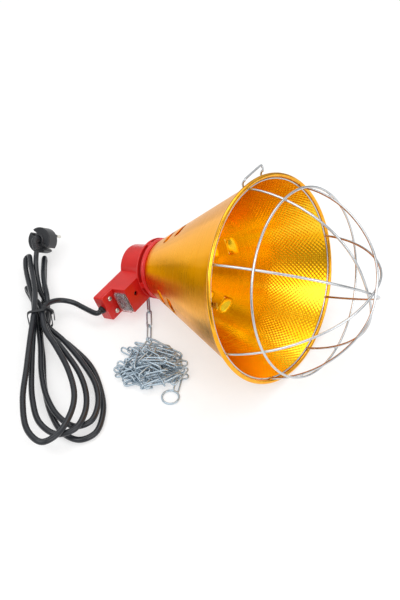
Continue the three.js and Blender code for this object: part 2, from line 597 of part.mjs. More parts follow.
for (const side of [-1, 1]) {
  const hole = new THREE.CylinderGeometry(PLUG.pinR + GAP, PLUG.pinR + GAP, 10, 10);
  plug = plug.subtract(solid(hole.rotateX(rad(90)).translate(0, side * PLUG.half, -1)));
}
const bootHole = new THREE.CylinderGeometry(5.4, 5.4, 8, 14).rotateX(rad(90)).translate(0, 0, -PLUG.thick);
plug = plug.subtract(solid(bootHole));
add("plug_body", plug, BLACK, plugMatrix);
[-1, 1].forEach((side, i) => {
  const p = [[-5.6, 0], [-5.6, PLUG.pinR], [PLUG.pin - 1, PLUG.pinR], [PLUG.pin, PLUG.pinR - 1], [PLUG.pin, 0]];
  const from = PLUG.face.clone().addScaledVector(pinLine, side * PLUG.half);
  add("plug_pin_" + (i + 1), turnedOn(p, from, pinDir, 10), BRASS);
});
const rear = PLUG.face.clone().addScaledVector(pinDir, -PLUG.thick + 3.4);
const bootPath = through([
  rear, rear.clone().addScaledVector(pinDir, -4.4), V(-271.8, 142.9, 35.2), V(-272.4, 139.2, 34.8),
  V(-271.6, 136, 31.8), V(-270.5, 133.2, 28.4),
]);
add("plug_boot", wire(bootPath, 4.4, 12, 8), BLACK);

// ---- hanging chain -----------------------------------------------------------------------
const EYE = { u: 23, x: -175, r: 4.0, w: 23.4, wire: 1.2, turn: 39 };
const eyePoint = (s, w) =>
  armPoint(EYE.u - s * Math.sin(rad(EYE.turn)), w, EYE.x + s * Math.cos(rad(EYE.turn)));
const eyePath = curveOf((t) => {
  const legs = 0.25;
  const drop = EYE.w - ARM.bottom - GAP;
  if (t < legs) return eyePoint(-EYE.r, EYE.w - drop * (1 - t / legs));
  if (t > 1 - legs) return eyePoint(EYE.r, EYE.w - drop * ((t - 1 + legs) / legs));
  const a = Math.PI * ((t - legs) / (1 - 2 * legs));
  return eyePoint(-EYE.r * Math.cos(a), EYE.w + EYE.r * Math.sin(a));
}, 16);
addLamp("chain_eye", wire(eyePath, EYE.wire, 14, 6), ZINC);

const pivots = [toFloor([EYE.u, EYE.w + EYE.r, EYE.x])];
const CHAIN_Z = 4.2;
const CHAIN_TURN = [-84, -86, -88]; // compass direction of each link, from +X
for (const turn of CHAIN_TURN) {
  const last = pivots[pivots.length - 1];
  const z = Math.max(CHAIN_Z, last.z - 0.6);
  const flat = Math.sqrt(LINK.pitch ** 2 - (z - last.z) ** 2);
  pivots.push(V(last.x + flat * Math.cos(rad(turn)), last.y + flat * Math.sin(rad(turn)), z));
}
const ROLL = [112, 28, -50]; // how far each link leans over on the floor
ROLL.forEach((roll, k) => {
  const [from, to] = [pivots[k], pivots[k + 1]];
  const along = to.clone().sub(from).normalize();
  const side = V(0, 0, 1).cross(along).normalize().applyAxisAngle(along, rad(roll));
  const overlap = k ? LINK.wire + GAP / 2 : LINK.wire + EYE.wire + GAP;
  const a = from.clone().addScaledVector(along, -overlap + LINK.half);
  const b = to.clone().addScaledVector(along, LINK.wire + GAP / 2 - LINK.half);
  const at = (base, deg) => {
    const onward = base.clone().addScaledVector(along, LINK.half * Math.cos(rad(deg)));
    return onward.addScaledVector(side, LINK.half * Math.sin(rad(deg)));
  };
  const path = new THREE.CatmullRomCurve3(
    [
      ...[-90, -50, 0, 50, 90].map((d) => at(b, d)), at(a.clone().lerp(b, 0.5), 90),
      ...[90, 130, 180, 230, 270].map((d) => at(a, d)), at(a.clone().lerp(b, 0.5), -90),
    ],
    true,
    "centripetal",
  );
  add("chain_link_" + (k + 1), new THREE.TubeGeometry(path, 24, LINK.wire, 5, true), ZINC);
});

const HEAP = { x: -121, y: -30, a: 38, b: 30, h: 16 };
const moundProfile = [[0, 0], [0.96, 0], [1, 0.12], [0.9, 0.45], [0.68, 0.78], [0.36, 0.95], [0, 1]];
const mound = new THREE.LatheGeometry(moundProfile.map(([r, z]) => new THREE.Vector2(r, z)), 20);
mound.rotateX(rad(90)).scale(HEAP.a, HEAP.b, HEAP.h).translate(HEAP.x, HEAP.y, 0.1);
add("chain_heap", mound, ZINC);

const RING = { x: -105, y: -71, r: 8.6, wire: 1.1 };
const endRing = new THREE.TorusGeometry(RING.r, RING.wire, 6, 20).translate(RING.x, RING.y, RING.wire + 0.1);
add("chain_end_ring", endRing, ZINC);

// ---- the origin is the middle of the base -------------------------------------------------
group.updateMatrixWorld(true);
const box = new THREE.Box3().setFromObject(group, true);
const mid = box.getCenter(V());
group.children.forEach((m) => m.geometry.translate(-mid.x, -mid.y, -box.min.z));

export default group;
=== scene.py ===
"""Brooder heat lamp lying on its side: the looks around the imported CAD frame. Lengths are in millimetres
inside the helpers and become metres through MM."""

import json
import math
import random

import bmesh
import bpy
import numpy as np
from mathutils import Matrix, Vector


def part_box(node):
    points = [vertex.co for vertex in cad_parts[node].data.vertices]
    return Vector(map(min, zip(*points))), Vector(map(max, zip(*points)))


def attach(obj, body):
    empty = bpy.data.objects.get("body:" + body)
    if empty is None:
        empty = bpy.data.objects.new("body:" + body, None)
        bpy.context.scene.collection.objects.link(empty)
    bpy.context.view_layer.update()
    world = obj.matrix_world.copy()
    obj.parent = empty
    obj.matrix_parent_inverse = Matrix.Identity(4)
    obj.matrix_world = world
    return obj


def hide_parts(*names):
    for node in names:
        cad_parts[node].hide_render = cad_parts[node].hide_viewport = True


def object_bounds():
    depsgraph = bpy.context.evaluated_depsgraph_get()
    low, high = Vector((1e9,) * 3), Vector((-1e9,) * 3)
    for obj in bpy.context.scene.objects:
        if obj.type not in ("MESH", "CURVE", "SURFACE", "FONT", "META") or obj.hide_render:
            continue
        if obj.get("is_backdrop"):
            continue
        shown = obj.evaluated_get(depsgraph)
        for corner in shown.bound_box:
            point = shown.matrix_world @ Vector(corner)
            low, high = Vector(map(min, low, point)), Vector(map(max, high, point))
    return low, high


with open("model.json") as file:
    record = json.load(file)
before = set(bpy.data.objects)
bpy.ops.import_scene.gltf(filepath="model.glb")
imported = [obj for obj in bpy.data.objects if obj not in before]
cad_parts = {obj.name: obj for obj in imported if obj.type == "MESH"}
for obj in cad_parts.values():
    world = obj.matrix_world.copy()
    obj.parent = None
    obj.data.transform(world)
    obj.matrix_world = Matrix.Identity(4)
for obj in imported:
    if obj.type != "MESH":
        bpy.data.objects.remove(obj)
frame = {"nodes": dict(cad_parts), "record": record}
cad_low, cad_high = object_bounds()
scene = bpy.context.scene
MM = 0.001
TAU = math.tau
GAP = 0.3  # clearance between parts that touch in the real lamp

# ---- the lamp's own frame, from the record's joints
JOINT = {j["name"]: j for j in frame["record"]["behaviour"]["joints"]}
MOUNT = {m["name"]: m for m in frame["record"]["mounts"]}
HINGE_AT = -8.0  # clock angle of the guard's hinge
BEAD_CENTRE, BEAD_R = 102.9, 2.1
AXIS = -Vector(JOINT["rocker_pivot"]["axis"]).normalized()
HINGE_SIDE = Vector(JOINT["guard_hinge"]["axis"]).normalized()
HINGE_UP = HINGE_SIDE.cross(AXIS).normalized()
MOUTH = Vector(JOINT["guard_hinge"]["pos_m"]) - HINGE_UP * (BEAD_CENTRE * MM)
ARM_AT = 94.8


def radial(deg):
    t = math.radians(deg - HINGE_AT)
    return HINGE_UP * math.cos(t) + HINGE_SIDE * math.sin(t)


def lamp(x, deg=0.0, r=0.0):
    """A point x in front of the mouth, r from the axis at a clock angle."""
    return MOUTH + (AXIS * x + radial(deg) * r) * MM


ARM_U, ARM_W = radial(ARM_AT), radial(ARM_AT + 90)


def arm(u, w, x):
    """A point in the side arm's frame: u out along it, w down across it, x along the axis."""
    return MOUTH + (AXIS * x + ARM_U * u + ARM_W * w) * MM


# The loose things on the floor are placed from the chain's end ring.
RING_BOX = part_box("chain_end_ring")
RING_X, RING_Y = -105.0, -71.0
FLOOR_X = (RING_BOX[0].x + RING_BOX[1].x) / 2 / MM - RING_X
FLOOR_Y = (RING_BOX[0].y + RING_BOX[1].y) / 2 / MM - RING_Y
FLOOR_Z = RING_BOX[0].z / MM - 0.1


def floor(x, y, z):
    return Vector((x + FLOOR_X, y + FLOOR_Y, z + FLOOR_Z)) * MM


# ---- mesh helpers
def mesh_object(name, verts, faces):
    me = bpy.data.meshes.new(name)
    me.from_pydata([tuple(v) for v in verts], [], faces)
    me.validate()
    ob = bpy.data.objects.new(name, me)
    scene.collection.objects.link(ob)
    return ob


def solid(name, verts, faces):
    """A mesh object with its faces turned outward."""
    ob = mesh_object(name, verts, faces)
    bm = bmesh.new()
    bm.from_mesh(ob.data)
    bmesh.ops.recalc_face_normals(bm, faces=bm.faces)
    bm.to_mesh(ob.data)
    bm.free()
    return ob


SLOT_OF = {}  # the record's slot that each material stands for


def dress(ob, mat, node=None, sharp=None, body="lamp", slot=None):
    """Gives a piece its material, shading, body, and the CAD node it stands for; its slot is looked up but
    not kept.
    """
    if mat is not None:
        ob.data.materials.clear()
        ob.data.materials.append(mat)
    ob.data.shade_smooth()
    if sharp is not None:
        ob.data.set_sharp_from_angle(angle=math.radians(sharp))
        mod = ob.modifiers.new("normals", "WEIGHTED_NORMAL")
        mod.keep_sharp = True
        mod.weight = 80
    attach(ob, body)
    if node:
        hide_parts(node)
    slot or SLOT_OF[mat.name]


def spline(points, per_span):
    """A centripetal curve through points, sampled evenly in its own parameter."""
    p = [np.array(q, float) for q in points]
    n = len(p)
    out = []
    for i in range(n - 1):
        p1, p2 = p[i], p[i + 1]
        p0 = p[i - 1] if i > 0 else 2 * p1 - p2
        p3 = p[i + 2] if i + 2 < n else 2 * p2 - p1
        spans = [float(np.linalg.norm(b - a)) for a, b in ((p0, p1), (p1, p2), (p2, p3))]
        d0, d1, d2 = (max(span**0.5, 1e-9) for span in spans)
        t1 = ((p1 - p0) / d0 - (p2 - p0) / (d0 + d1) + (p2 - p1) / d1) * d1
        t2 = ((p2 - p1) / d1 - (p3 - p1) / (d1 + d2) + (p3 - p2) / d2) * d1
        for k in range(per_span):
            t = k / per_span
            out.append(p1 + t1 * t + (3 * (p2 - p1) - 2 * t1 - t2) * t**2 + (2 * (p1 - p2) + t1 + t2) * t**3)
    out.append(p[-1])
    return out


def bands(loops, m, closed=False):
    """Faces between loops of m points each, with an end face at both ends of an open run."""
    faces = []
    for i in range(loops if closed else loops - 1):
        j = (i + 1) % loops
        for k in range(m):
            l = (k + 1) % m
            faces.append((i * m + k, i * m + l, j * m + l, j * m + k))
    if not closed:
        faces.append(tuple(reversed(range(m))))
        faces.append(tuple(range((loops - 1) * m, loops * m)))
    return faces


def tube(points, radius, sides=12, closed=False):
    """Round wire swept along points; radius is one value or one for each point."""
    pts = np.array([tuple(p) for p in points], float)
    n = len(pts)
    if closed:
        tan = np.roll(pts, -1, 0) - np.roll(pts, 1, 0)
    else:
        tan = np.gradient(pts, axis=0)
    tan /= np.linalg.norm(tan, axis=1)[:, None]
    seed = np.array([0.0, 0.0, 1.0])
    if abs(tan[0] @ seed) > 0.9:
        seed = np.array([1.0, 0.0, 0.0])
    normal = seed - tan[0] * (tan[0] @ seed)
    normal /= np.linalg.norm(normal)
    normals = [normal]
    for i in range(1, n):
        v = normals[-1] - tan[i] * (tan[i] @ normals[-1])
        normals.append(v / np.linalg.norm(v))
    if closed:  # spread the leftover twist round the loop
        v = normals[-1] - tan[0] * (tan[0] @ normals[-1])
        v /= np.linalg.norm(v)
        twist = math.atan2(float(np.cross(v, normals[0]) @ tan[0]), float(v @ normals[0]))
        for i in range(n):
            a = twist * i / n
            b = np.cross(tan[i], normals[i])
            normals[i] = normals[i] * math.cos(a) + b * math.sin(a)
    section = [(math.cos(TAU * k / sides), math.sin(TAU * k / sides)) for k in range(sides)]
    radii = np.broadcast_to(np.array(radius, float), (n,))
    verts = []
    for i in range(n):
        b = np.cross(tan[i], normals[i])
        for sa, sb in section:
            verts.append(pts[i] + (normals[i] * sa + b * sb) * radii[i])
    return verts, bands(n, sides, closed)


def wire(name, points, r_mm, mat, node, body="lamp", sides=12, closed=False):
    dress(solid(name, *tube(points, np.array(r_mm) * MM, sides, closed)), mat, node, 50, body)


def fillet(points, r, n=4):
    """Rounds the corners of a closed outline; r is one radius or one for each corner."""
    out = []
    count = len(points)
    for i, p in enumerate(points):
        p = np.array(p, float)
        a = np.array(points[i - 1], float) - p
        b = np.array(points[(i + 1) % count], float) - p
        ri = r[i] if isinstance(r, (list, tuple)) else r
        la, lb = np.linalg.norm(a), np.linalg.norm(b)
        ua, ub = a / la, b / lb
        half = math.acos(max(-1.0, min(1.0, float(ua @ ub)))) / 2
        if ri < 1e-6 or half > math.radians(88):
            out.append(tuple(p))
            continue
        cutback = min(ri / math.tan(half), la * 0.48, lb * 0.48)
        for k in range(n + 1):
            t = k / n
            q = p + ua * cutback * (1 - t) ** 2 + ub * cutback * t**2
            out.append(tuple(q))
    return out


def lathe(profile, segments, base=None, axis=None, side=None, closed=False):
    """Turns (x, r) points about an axis; a point with r 0 becomes one vertex."""
    base = MOUTH if base is None else base
    axis = AXIS if axis is None else axis
    side = radial(0) if side is None else side
    other = axis.cross(side)
    verts, rings = [], []
    for x, r in profile:
        centre = base + axis * (x * MM)
        if r < 1e-6:
            rings.append([len(verts)])
            verts.append(centre)
            continue
        rings.append(list(range(len(verts), len(verts) + segments)))
        for k in range(segments):
            t = TAU * k / segments
            verts.append(centre + (side * math.cos(t) + other * math.sin(t)) * (r * MM))
    faces = []
    pairs = list(zip(rings, rings[1:])) + ([(rings[-1], rings[0])] if closed else [])
    for a, b in pairs:
        for k in range(segments):
            l = (k + 1) % segments
            if len(a) == 1 and len(b) == 1:
                continue
            if len(a) == 1:
                faces.append((a[0], b[l], b[k]))
            elif len(b) == 1:
                faces.append((a[k], a[l], b[0]))
            else:
                faces.append((a[k], a[l], b[l], b[k]))
    return verts, faces


def turned(name, profile, mat, node, segments, closed=True, sharp=40, body="lamp", slot=None, **where):
    dress(solid(name, *lathe(profile, segments, closed=closed, **where)), mat, node, sharp, body, slot)


BEVEL_STEPS, BEVEL_FROM = 3, math.radians(30)


def prism(name, outline, x0, x1, bevel, place):
    """An outline carried from x0 to x1, with its edges rounded. place(a, b, x) gives world points."""
    n = len(outline)
    verts = [place(a, b, x0) for a, b in outline] + [place(a, b, x1) for a, b in outline]
    faces = [tuple(range(n)), tuple(reversed(range(n, 2 * n)))]
    faces += [(i, (i + 1) % n, n + (i + 1) % n, n + i) for i in range(n)]
    ob = mesh_object(name, verts, faces)
    bm = bmesh.new()
    bm.from_mesh(ob.data)
    bmesh.ops.recalc_face_normals(bm, faces=bm.faces)
    if bevel > 0:
        edges = [e for e in bm.edges if e.calc_face_angle(0) > BEVEL_FROM]
        bmesh.ops.bevel(
            bm, geom=edges, offset=bevel * MM, segments=BEVEL_STEPS, profile=0.5,
            affect="EDGES", clamp_overlap=True,
        )
    bm.to_mesh(ob.data)
    bm.free()
    return ob


def slab(name, outline, x0, x1, bevel=0.0):
    """A prism whose outline is in the side arm's frame."""
    return prism(name, outline, x0, x1, bevel, arm)


def rectangle(a0, a1, b0, b1):
    return [(a0, b0), (a1, b0), (a1, b1), (a0, b1)]


def block(name, u0, u1, w0, w1, x0, x1, bevel=0.0):
    return slab(name, rectangle(u0, u1, w0, w1), x0, x1, bevel)


def bake(ob):
    """Applies an object's modifiers."""
    bpy.context.view_layer.update()
    dg = bpy.context.evaluated_depsgraph_get()
    me = bpy.data.meshes.new_from_object(ob.evaluated_get(dg))
    ob.modifiers.clear()
    ob.data = me


def soften(ob, width):
    """Rounds an object's sharp edges."""
    mod = ob.modifiers.new("edges", "BEVEL")
    mod.width = width * MM
    mod.segments = BEVEL_STEPS
    mod.limit_method = "ANGLE"
    mod.angle_limit = math.radians(35)
    bake(ob)


def combine(ob, others, how="DIFFERENCE"):
    """Cuts the others out of an object, or joins them to it, and removes them."""
    for other in others:
        mod = ob.modifiers.new("combine", "BOOLEAN")
        mod.operation = how
        mod.solver = "EXACT"
        mod.object = other
        bake(ob)
        bpy.data.objects.remove(other)


def cylinder(name, at, direction, r0, length, r1=None, segments=32):
    """A cylinder, or a cone down to r1, that serves as a cutter."""
    r1 = r0 if r1 is None else r1
    side = direction.orthogonal().normalized()
    profile = [(0, 0), (0, r0), (length, r1), (length, 0)]
    return solid(name, *lathe(profile, segments, at, direction.normalized(), side))


# ---- materials
class Graph:
    """A few words for building a material's node tree."""

    def __init__(self, tree):
        self.tree = tree

    def add(self, kind, inputs=None, **props):
        node = self.tree.nodes.new(kind)
        for key, value in props.items():
            setattr(node, key, value)
        for key, value in (inputs or {}).items():
            socket = node.inputs[key]
            if isinstance(value, bpy.types.NodeSocket):
                self.tree.links.new(value, socket)
            else:
                socket.default_value = value
        return node

    def cloud(self, scale, detail=4.0, rough=0.5):
        """Noise in the object's own space."""
        return self.noise(self.add("ShaderNodeTexCoord").outputs["Object"], scale, detail, rough)

    def noise(self, vector, scale, detail=4.0, rough=0.5):
        inputs = {"Vector": vector, "Scale": scale, "Detail": detail, "Roughness": rough}
        return self.add("ShaderNodeTexNoise", inputs).outputs["Fac"]

    def math(self, how, a, b=0.0, clamp=False):
        return self.add("ShaderNodeMath", {0: a, 1: b}, operation=how, use_clamp=clamp).outputs[0]

    def spread(self, value, low, high, to_low=0.0, to_high=1.0):
        node = self.add(
            "ShaderNodeMapRange",
            {"Value": value, "From Min": low, "From Max": high, "To Min": to_low, "To Max": to_high},
        )
        return node.outputs["Result"]

    def mix(self, factor, a, b):
        node = self.add("ShaderNodeMix", data_type="RGBA")
        for key, value in ((0, factor), (6, a), (7, b)):
            if isinstance(value, bpy.types.NodeSocket):
                self.tree.links.new(value, node.inputs[key])
            else:
                node.inputs[key].default_value = value
        return node.outputs[2]

    def bump(self, height, strength, distance):
        inputs = {"Height": height, "Strength": strength, "Distance": distance}
        return self.add("ShaderNodeBump", inputs).outputs["Normal"]


def material(name, build, slot=None, **base):
    """A material; its slot in the record has its own name unless another is given."""
    mat = bpy.data.materials.new(name)
    SLOT_OF[mat.name] = slot or name
    mat.use_nodes = True
    mat.node_tree.nodes.clear()
    g = Graph(mat.node_tree)
    inputs = {key.replace("_", " "): value for key, value in base.items()}
    inputs.update(build(g))
    shader = g.add("ShaderNodeBsdfPrincipled", inputs)
    out = g.add("ShaderNodeOutputMaterial")
    g.tree.links.new(shader.outputs[0], out.inputs["Surface"])
    return mat


def rgb(r, g, b):
    return (r, g, b, 1.0)


def round_the_axis(g):
    """Seamless coordinates for spun metal: a circle round the axis, and the distance along the wall."""
    uv = g.add("ShaderNodeUVMap", uv_map="spun").outputs[0]
    parts = g.add("ShaderNodeSeparateXYZ", {0: uv})
    turn = g.math("MULTIPLY", parts.outputs[0], TAU)
    return turn, parts.outputs[1]


def spun_lines(g, round_scale, along_scale, detail=3.0):
    turn, along = round_the_axis(g)
    vec = g.add(
        "ShaderNodeCombineXYZ",
        {
            0: g.math("MULTIPLY", g.math("COSINE", turn), round_scale),
            1: g.math("MULTIPLY", g.math("SINE", turn), round_scale),
            2: g.math("MULTIPLY", along, along_scale),
        },
    ).outputs[0]
    return g.noise(vec, 1.0, detail, 0.6)


def gold_outside(g):
    fine = spun_lines(g, 0.6, 1700.0)
    painted_highlight_bands = spun_lines(g, 0.9, 190.0, 2.0)
    cloud = g.cloud(22.0, 3.0)
    # Painted reflection: the tone is deepest where the wall faces a little upward, and painted paler either
    # side, where it faces the floor or the lights.
    normal = g.add("ShaderNodeNewGeometry").outputs["Normal"]
    up = g.add("ShaderNodeSeparateXYZ", {0: normal}).outputs[2]
    painted_reflection_by_facing = g.spread(g.math("ABSOLUTE", g.math("SUBTRACT", up, 0.3)), 0.05, 0.38, 0.2)
    deep = g.mix(g.spread(fine, 0.3, 0.7), rgb(0.86, 0.36, 0.004), rgb(0.94, 0.44, 0.010))
    pale = g.mix(g.spread(fine, 0.3, 0.7), rgb(0.95, 0.44, 0.045), rgb(0.99, 0.50, 0.070))
    tone = g.mix(painted_reflection_by_facing, deep, pale)
    # painted highlight: broad bands round the wall are lifted toward a pale gold
    tone = g.mix(g.spread(painted_highlight_bands, 0.35, 0.65, 0.0, 0.2), tone, rgb(0.98, 0.52, 0.06))
    # painted reflection: darker streaks along the wall, where dark surroundings would be mirrored
    painted_reflection_streaks = spun_lines(g, 3.4, 3.0, 2.0)
    tone = g.mix(g.spread(painted_reflection_streaks, 0.42, 0.62, 0.0, 0.55), tone, rgb(0.60, 0.24, 0.004))
    rough = g.math("ADD", g.spread(fine, 0.3, 0.7, 0.24, 0.36), g.spread(cloud, 0.3, 0.7, -0.03, 0.03))
    tangent = g.add("ShaderNodeTangent", direction_type="UV_MAP", uv_map="spun").outputs[0]
    return {
        "Base Color": tone,
        # the specular tint follows the same painted reflection mask
        "Specular Tint": g.mix(painted_reflection_by_facing, rgb(1.0, 0.68, 0.32), rgb(1.0, 0.92, 0.84)),
        "Roughness": rough,
        "Normal": g.bump(fine, 0.12, 0.0002),
        "Tangent": tangent,
    }


def gold_inside(g):
    fine = spun_lines(g, 0.6, 1100.0)
    cloud = g.cloud(30.0, 3.0)
    painted_reflection_streaks = spun_lines(g, 2.4, 5.0, 2.0)
    tone = g.mix(g.spread(fine, 0.3, 0.7), rgb(0.96, 0.46, 0.008), rgb(1.0, 0.55, 0.014))
    # painted highlight: bright streaks along the inner wall
    tone = g.mix(g.spread(painted_reflection_streaks, 0.5, 0.68, 0.0, 0.75), tone, rgb(1.0, 0.76, 0.05))
    rough = g.math("ADD", g.spread(fine, 0.3, 0.7, 0.16, 0.26), g.spread(cloud, 0.3, 0.7, -0.03, 0.03))
    return {"Base Color": tone, "Roughness": rough, "Normal": g.bump(fine, 0.08, 0.0002)}


def gold_bead(g):
    fine = spun_lines(g, 1.5, 900.0)
    wear = g.cloud(160.0, 4.0)
    tone = g.mix(g.spread(wear, 0.35, 0.75), rgb(0.93, 0.40, 0.02), rgb(1.0, 0.52, 0.05))
    return {"Base Color": tone, "Roughness": g.spread(fine, 0.3, 0.7, 0.12, 0.24)}


def zinc(tint, low=0.18, high=0.32):
    """Plated or bare metal with soft patches of tone and gloss."""

    def build(g):
        grain = g.cloud(900.0, 3.0)
        patch = g.cloud(60.0, 3.0, 0.5)
        dark = tuple(c * 0.86 for c in tint[:3]) + (1.0,)
        tone = g.mix(g.spread(patch, 0.35, 0.7), dark, tint)
        return {
            "Base Color": tone,
            "Roughness": g.spread(patch, 0.3, 0.7, low, high),
            "Normal": g.bump(grain, 0.08, 0.0002),
        }

    return build


def moulded(light, dark, low, high, grain_scale=1400.0, grain=0.10):
    """Moulded plastic: faint flow marks in tone and gloss, and a fine skin texture."""

    def build(g):
        flow = g.cloud(35.0, 4.0, 0.55)
        skin = g.cloud(grain_scale, 2.0)
        return {
            "Base Color": g.mix(g.spread(flow, 0.35, 0.65), dark, light),
            "Roughness": g.spread(flow, 0.3, 0.7, low, high),
            "Normal": g.bump(skin, grain, 0.0002),
        }

    return build


def clear(g):
    haze = g.cloud(130.0, 2.0)
    return {
        "Base Color": g.mix(g.spread(haze, 0.3, 0.7), rgb(0.96, 0.88, 0.90), rgb(0.99, 0.94, 0.95)),
        "Roughness": g.spread(haze, 0.3, 0.7, 0.02, 0.07),
        "Normal": g.bump(haze, 0.03, 0.0002),
    }


M_GOLD_OUT = material("gold_outside", gold_outside, Metallic=1.0, Anisotropic=0.75)
M_CATCH = material("catch_gold", zinc(rgb(0.86, 0.42, 0.03)), "sheet_steel", Metallic=1.0)
M_GOLD_IN = material("gold_inside", gold_inside, Metallic=1.0)
M_BEAD = material("gold_bead", gold_bead, Metallic=1.0)
M_WIRE = material("zinc_bright", zinc(rgb(0.66, 0.68, 0.70)), "zinc_wire", Metallic=1.0)
M_CHAIN = material("zinc_blue", zinc(rgb(0.48, 0.58, 0.66), 0.26, 0.40), "zinc_wire", Metallic=0.65)
# painted shade: the lampholder skirt is coloured near black so the vent gap reads as a dark recess
M_VENT_SHADE = material("skirt_painted_shade", zinc(rgb(0.03, 0.045, 0.06), 0.3, 0.5), "sheet_steel", Metallic=0.2)
M_SCREW = material("zinc_screw", zinc(rgb(0.78, 0.77, 0.70)), "zinc_wire", Metallic=1.0)
M_STEEL = material("sheet_steel", zinc(rgb(0.62, 0.66, 0.72)), Metallic=1.0)
M_BRASS = material("brass", zinc(rgb(0.85, 0.62, 0.26)), Metallic=1.0)
RED_SKIN = moulded(rgb(0.72, 0.014, 0.010), rgb(0.64, 0.010, 0.008), 0.26, 0.36)
M_RED = material("cap_red", RED_SKIN, Coat_Weight=0.25, Coat_Roughness=0.2)
M_BLACK = material("black_plastic", moulded(rgb(0.018, 0.020, 0.024), rgb(0.012, 0.013, 0.016), 0.30, 0.42))
JACKET = moulded(rgb(0.013, 0.016, 0.021), rgb(0.009, 0.011, 0.015), 0.24, 0.34, 700.0, 0.05)
M_CABLE = material("cable_jacket", JACKET, "cable_black")
GLAZE = moulded(rgb(0.86, 0.84, 0.78), rgb(0.80, 0.77, 0.70), 0.08, 0.16, 500.0, 0.03)
M_CERAMIC = material("porcelain", GLAZE)
M_BROWN = material("lead_brown", moulded(rgb(0.16, 0.06, 0.03), rgb(0.13, 0.05, 0.025), 0.3, 0.4))
M_BLUE = material("lead_blue", moulded(rgb(0.02, 0.07, 0.36), rgb(0.02, 0.055, 0.30), 0.3, 0.4))
M_CLEAR = material("boot_clear", clear, Transmission_Weight=0.88, IOR=1.18, Coat_Weight=0.5)

# ---- reflector
CONE_R, NECK_X, NECK_R, WALL = 102.6, -150.9, 33.3, 1.0
SLOPE = (CONE_R - NECK_R) / -NECK_X
SLANT = math.atan(SLOPE)
INSET = WALL / math.cos(SLANT)
AROUND = 720  # points round the spun wall
DIMPLES = 120  # embossed diamonds round the wall
DIMPLE_ROW = 4.4  # spacing of their rows along the wall
DIMPLE_DEPTH = 0.22
EMBOSS_END = (-52.0, -66.0)  # the emboss fades out between these
LOUVRES_FROM = -72.0  # behind this both walls share their stations
LOUVRE_X, LOUVRE_AT = (-121.0, -100.0), (6.0, 97.0, 197.0, 270.0)
LOUVRE_HALF, LOUVRE_RAMP, LOUVRE_DEPTH = 11.0, 8.5, 3.6
LOUVRE_FLAT = (3.2, 2.5)  # stations this far behind and in front of a louvre hold the wall flat
SLOT = (-1.9, -0.6)  # each louvre's open gap, from its middle
SLOT_MARGIN = 1.2  # closed wall at both ends of a gap
RIM_ANGLES, RIM_STEPS = (196.5, -125.0), 22  # the rolled bead's section
FLANGE_R = 24.6
EMBOSS_FROM, EMBOSS_ROWS = -2.2, 92


def wall_r(x):
    return CONE_R + SLOPE * x


def louvre_dent(x, deg):
    dent = 0.0
    for at in LOUVRE_AT:
        s = ((deg - at + 180) % 360 - 180) * math.pi / 180 * wall_r(x)
        if abs(s) >= LOUVRE_HALF:
            continue
        across = (1 - (s / LOUVRE_HALF) ** 2) ** 0.8
        for lx in LOUVRE_X:
            t = (x - lx - SLOT[1]) / LOUVRE_RAMP
            if -1e-6 <= t <= 1:
                dent += LOUVRE_DEPTH * across * (1 - t) ** 1.5 * (1 + 1.5 * t)
    return dent


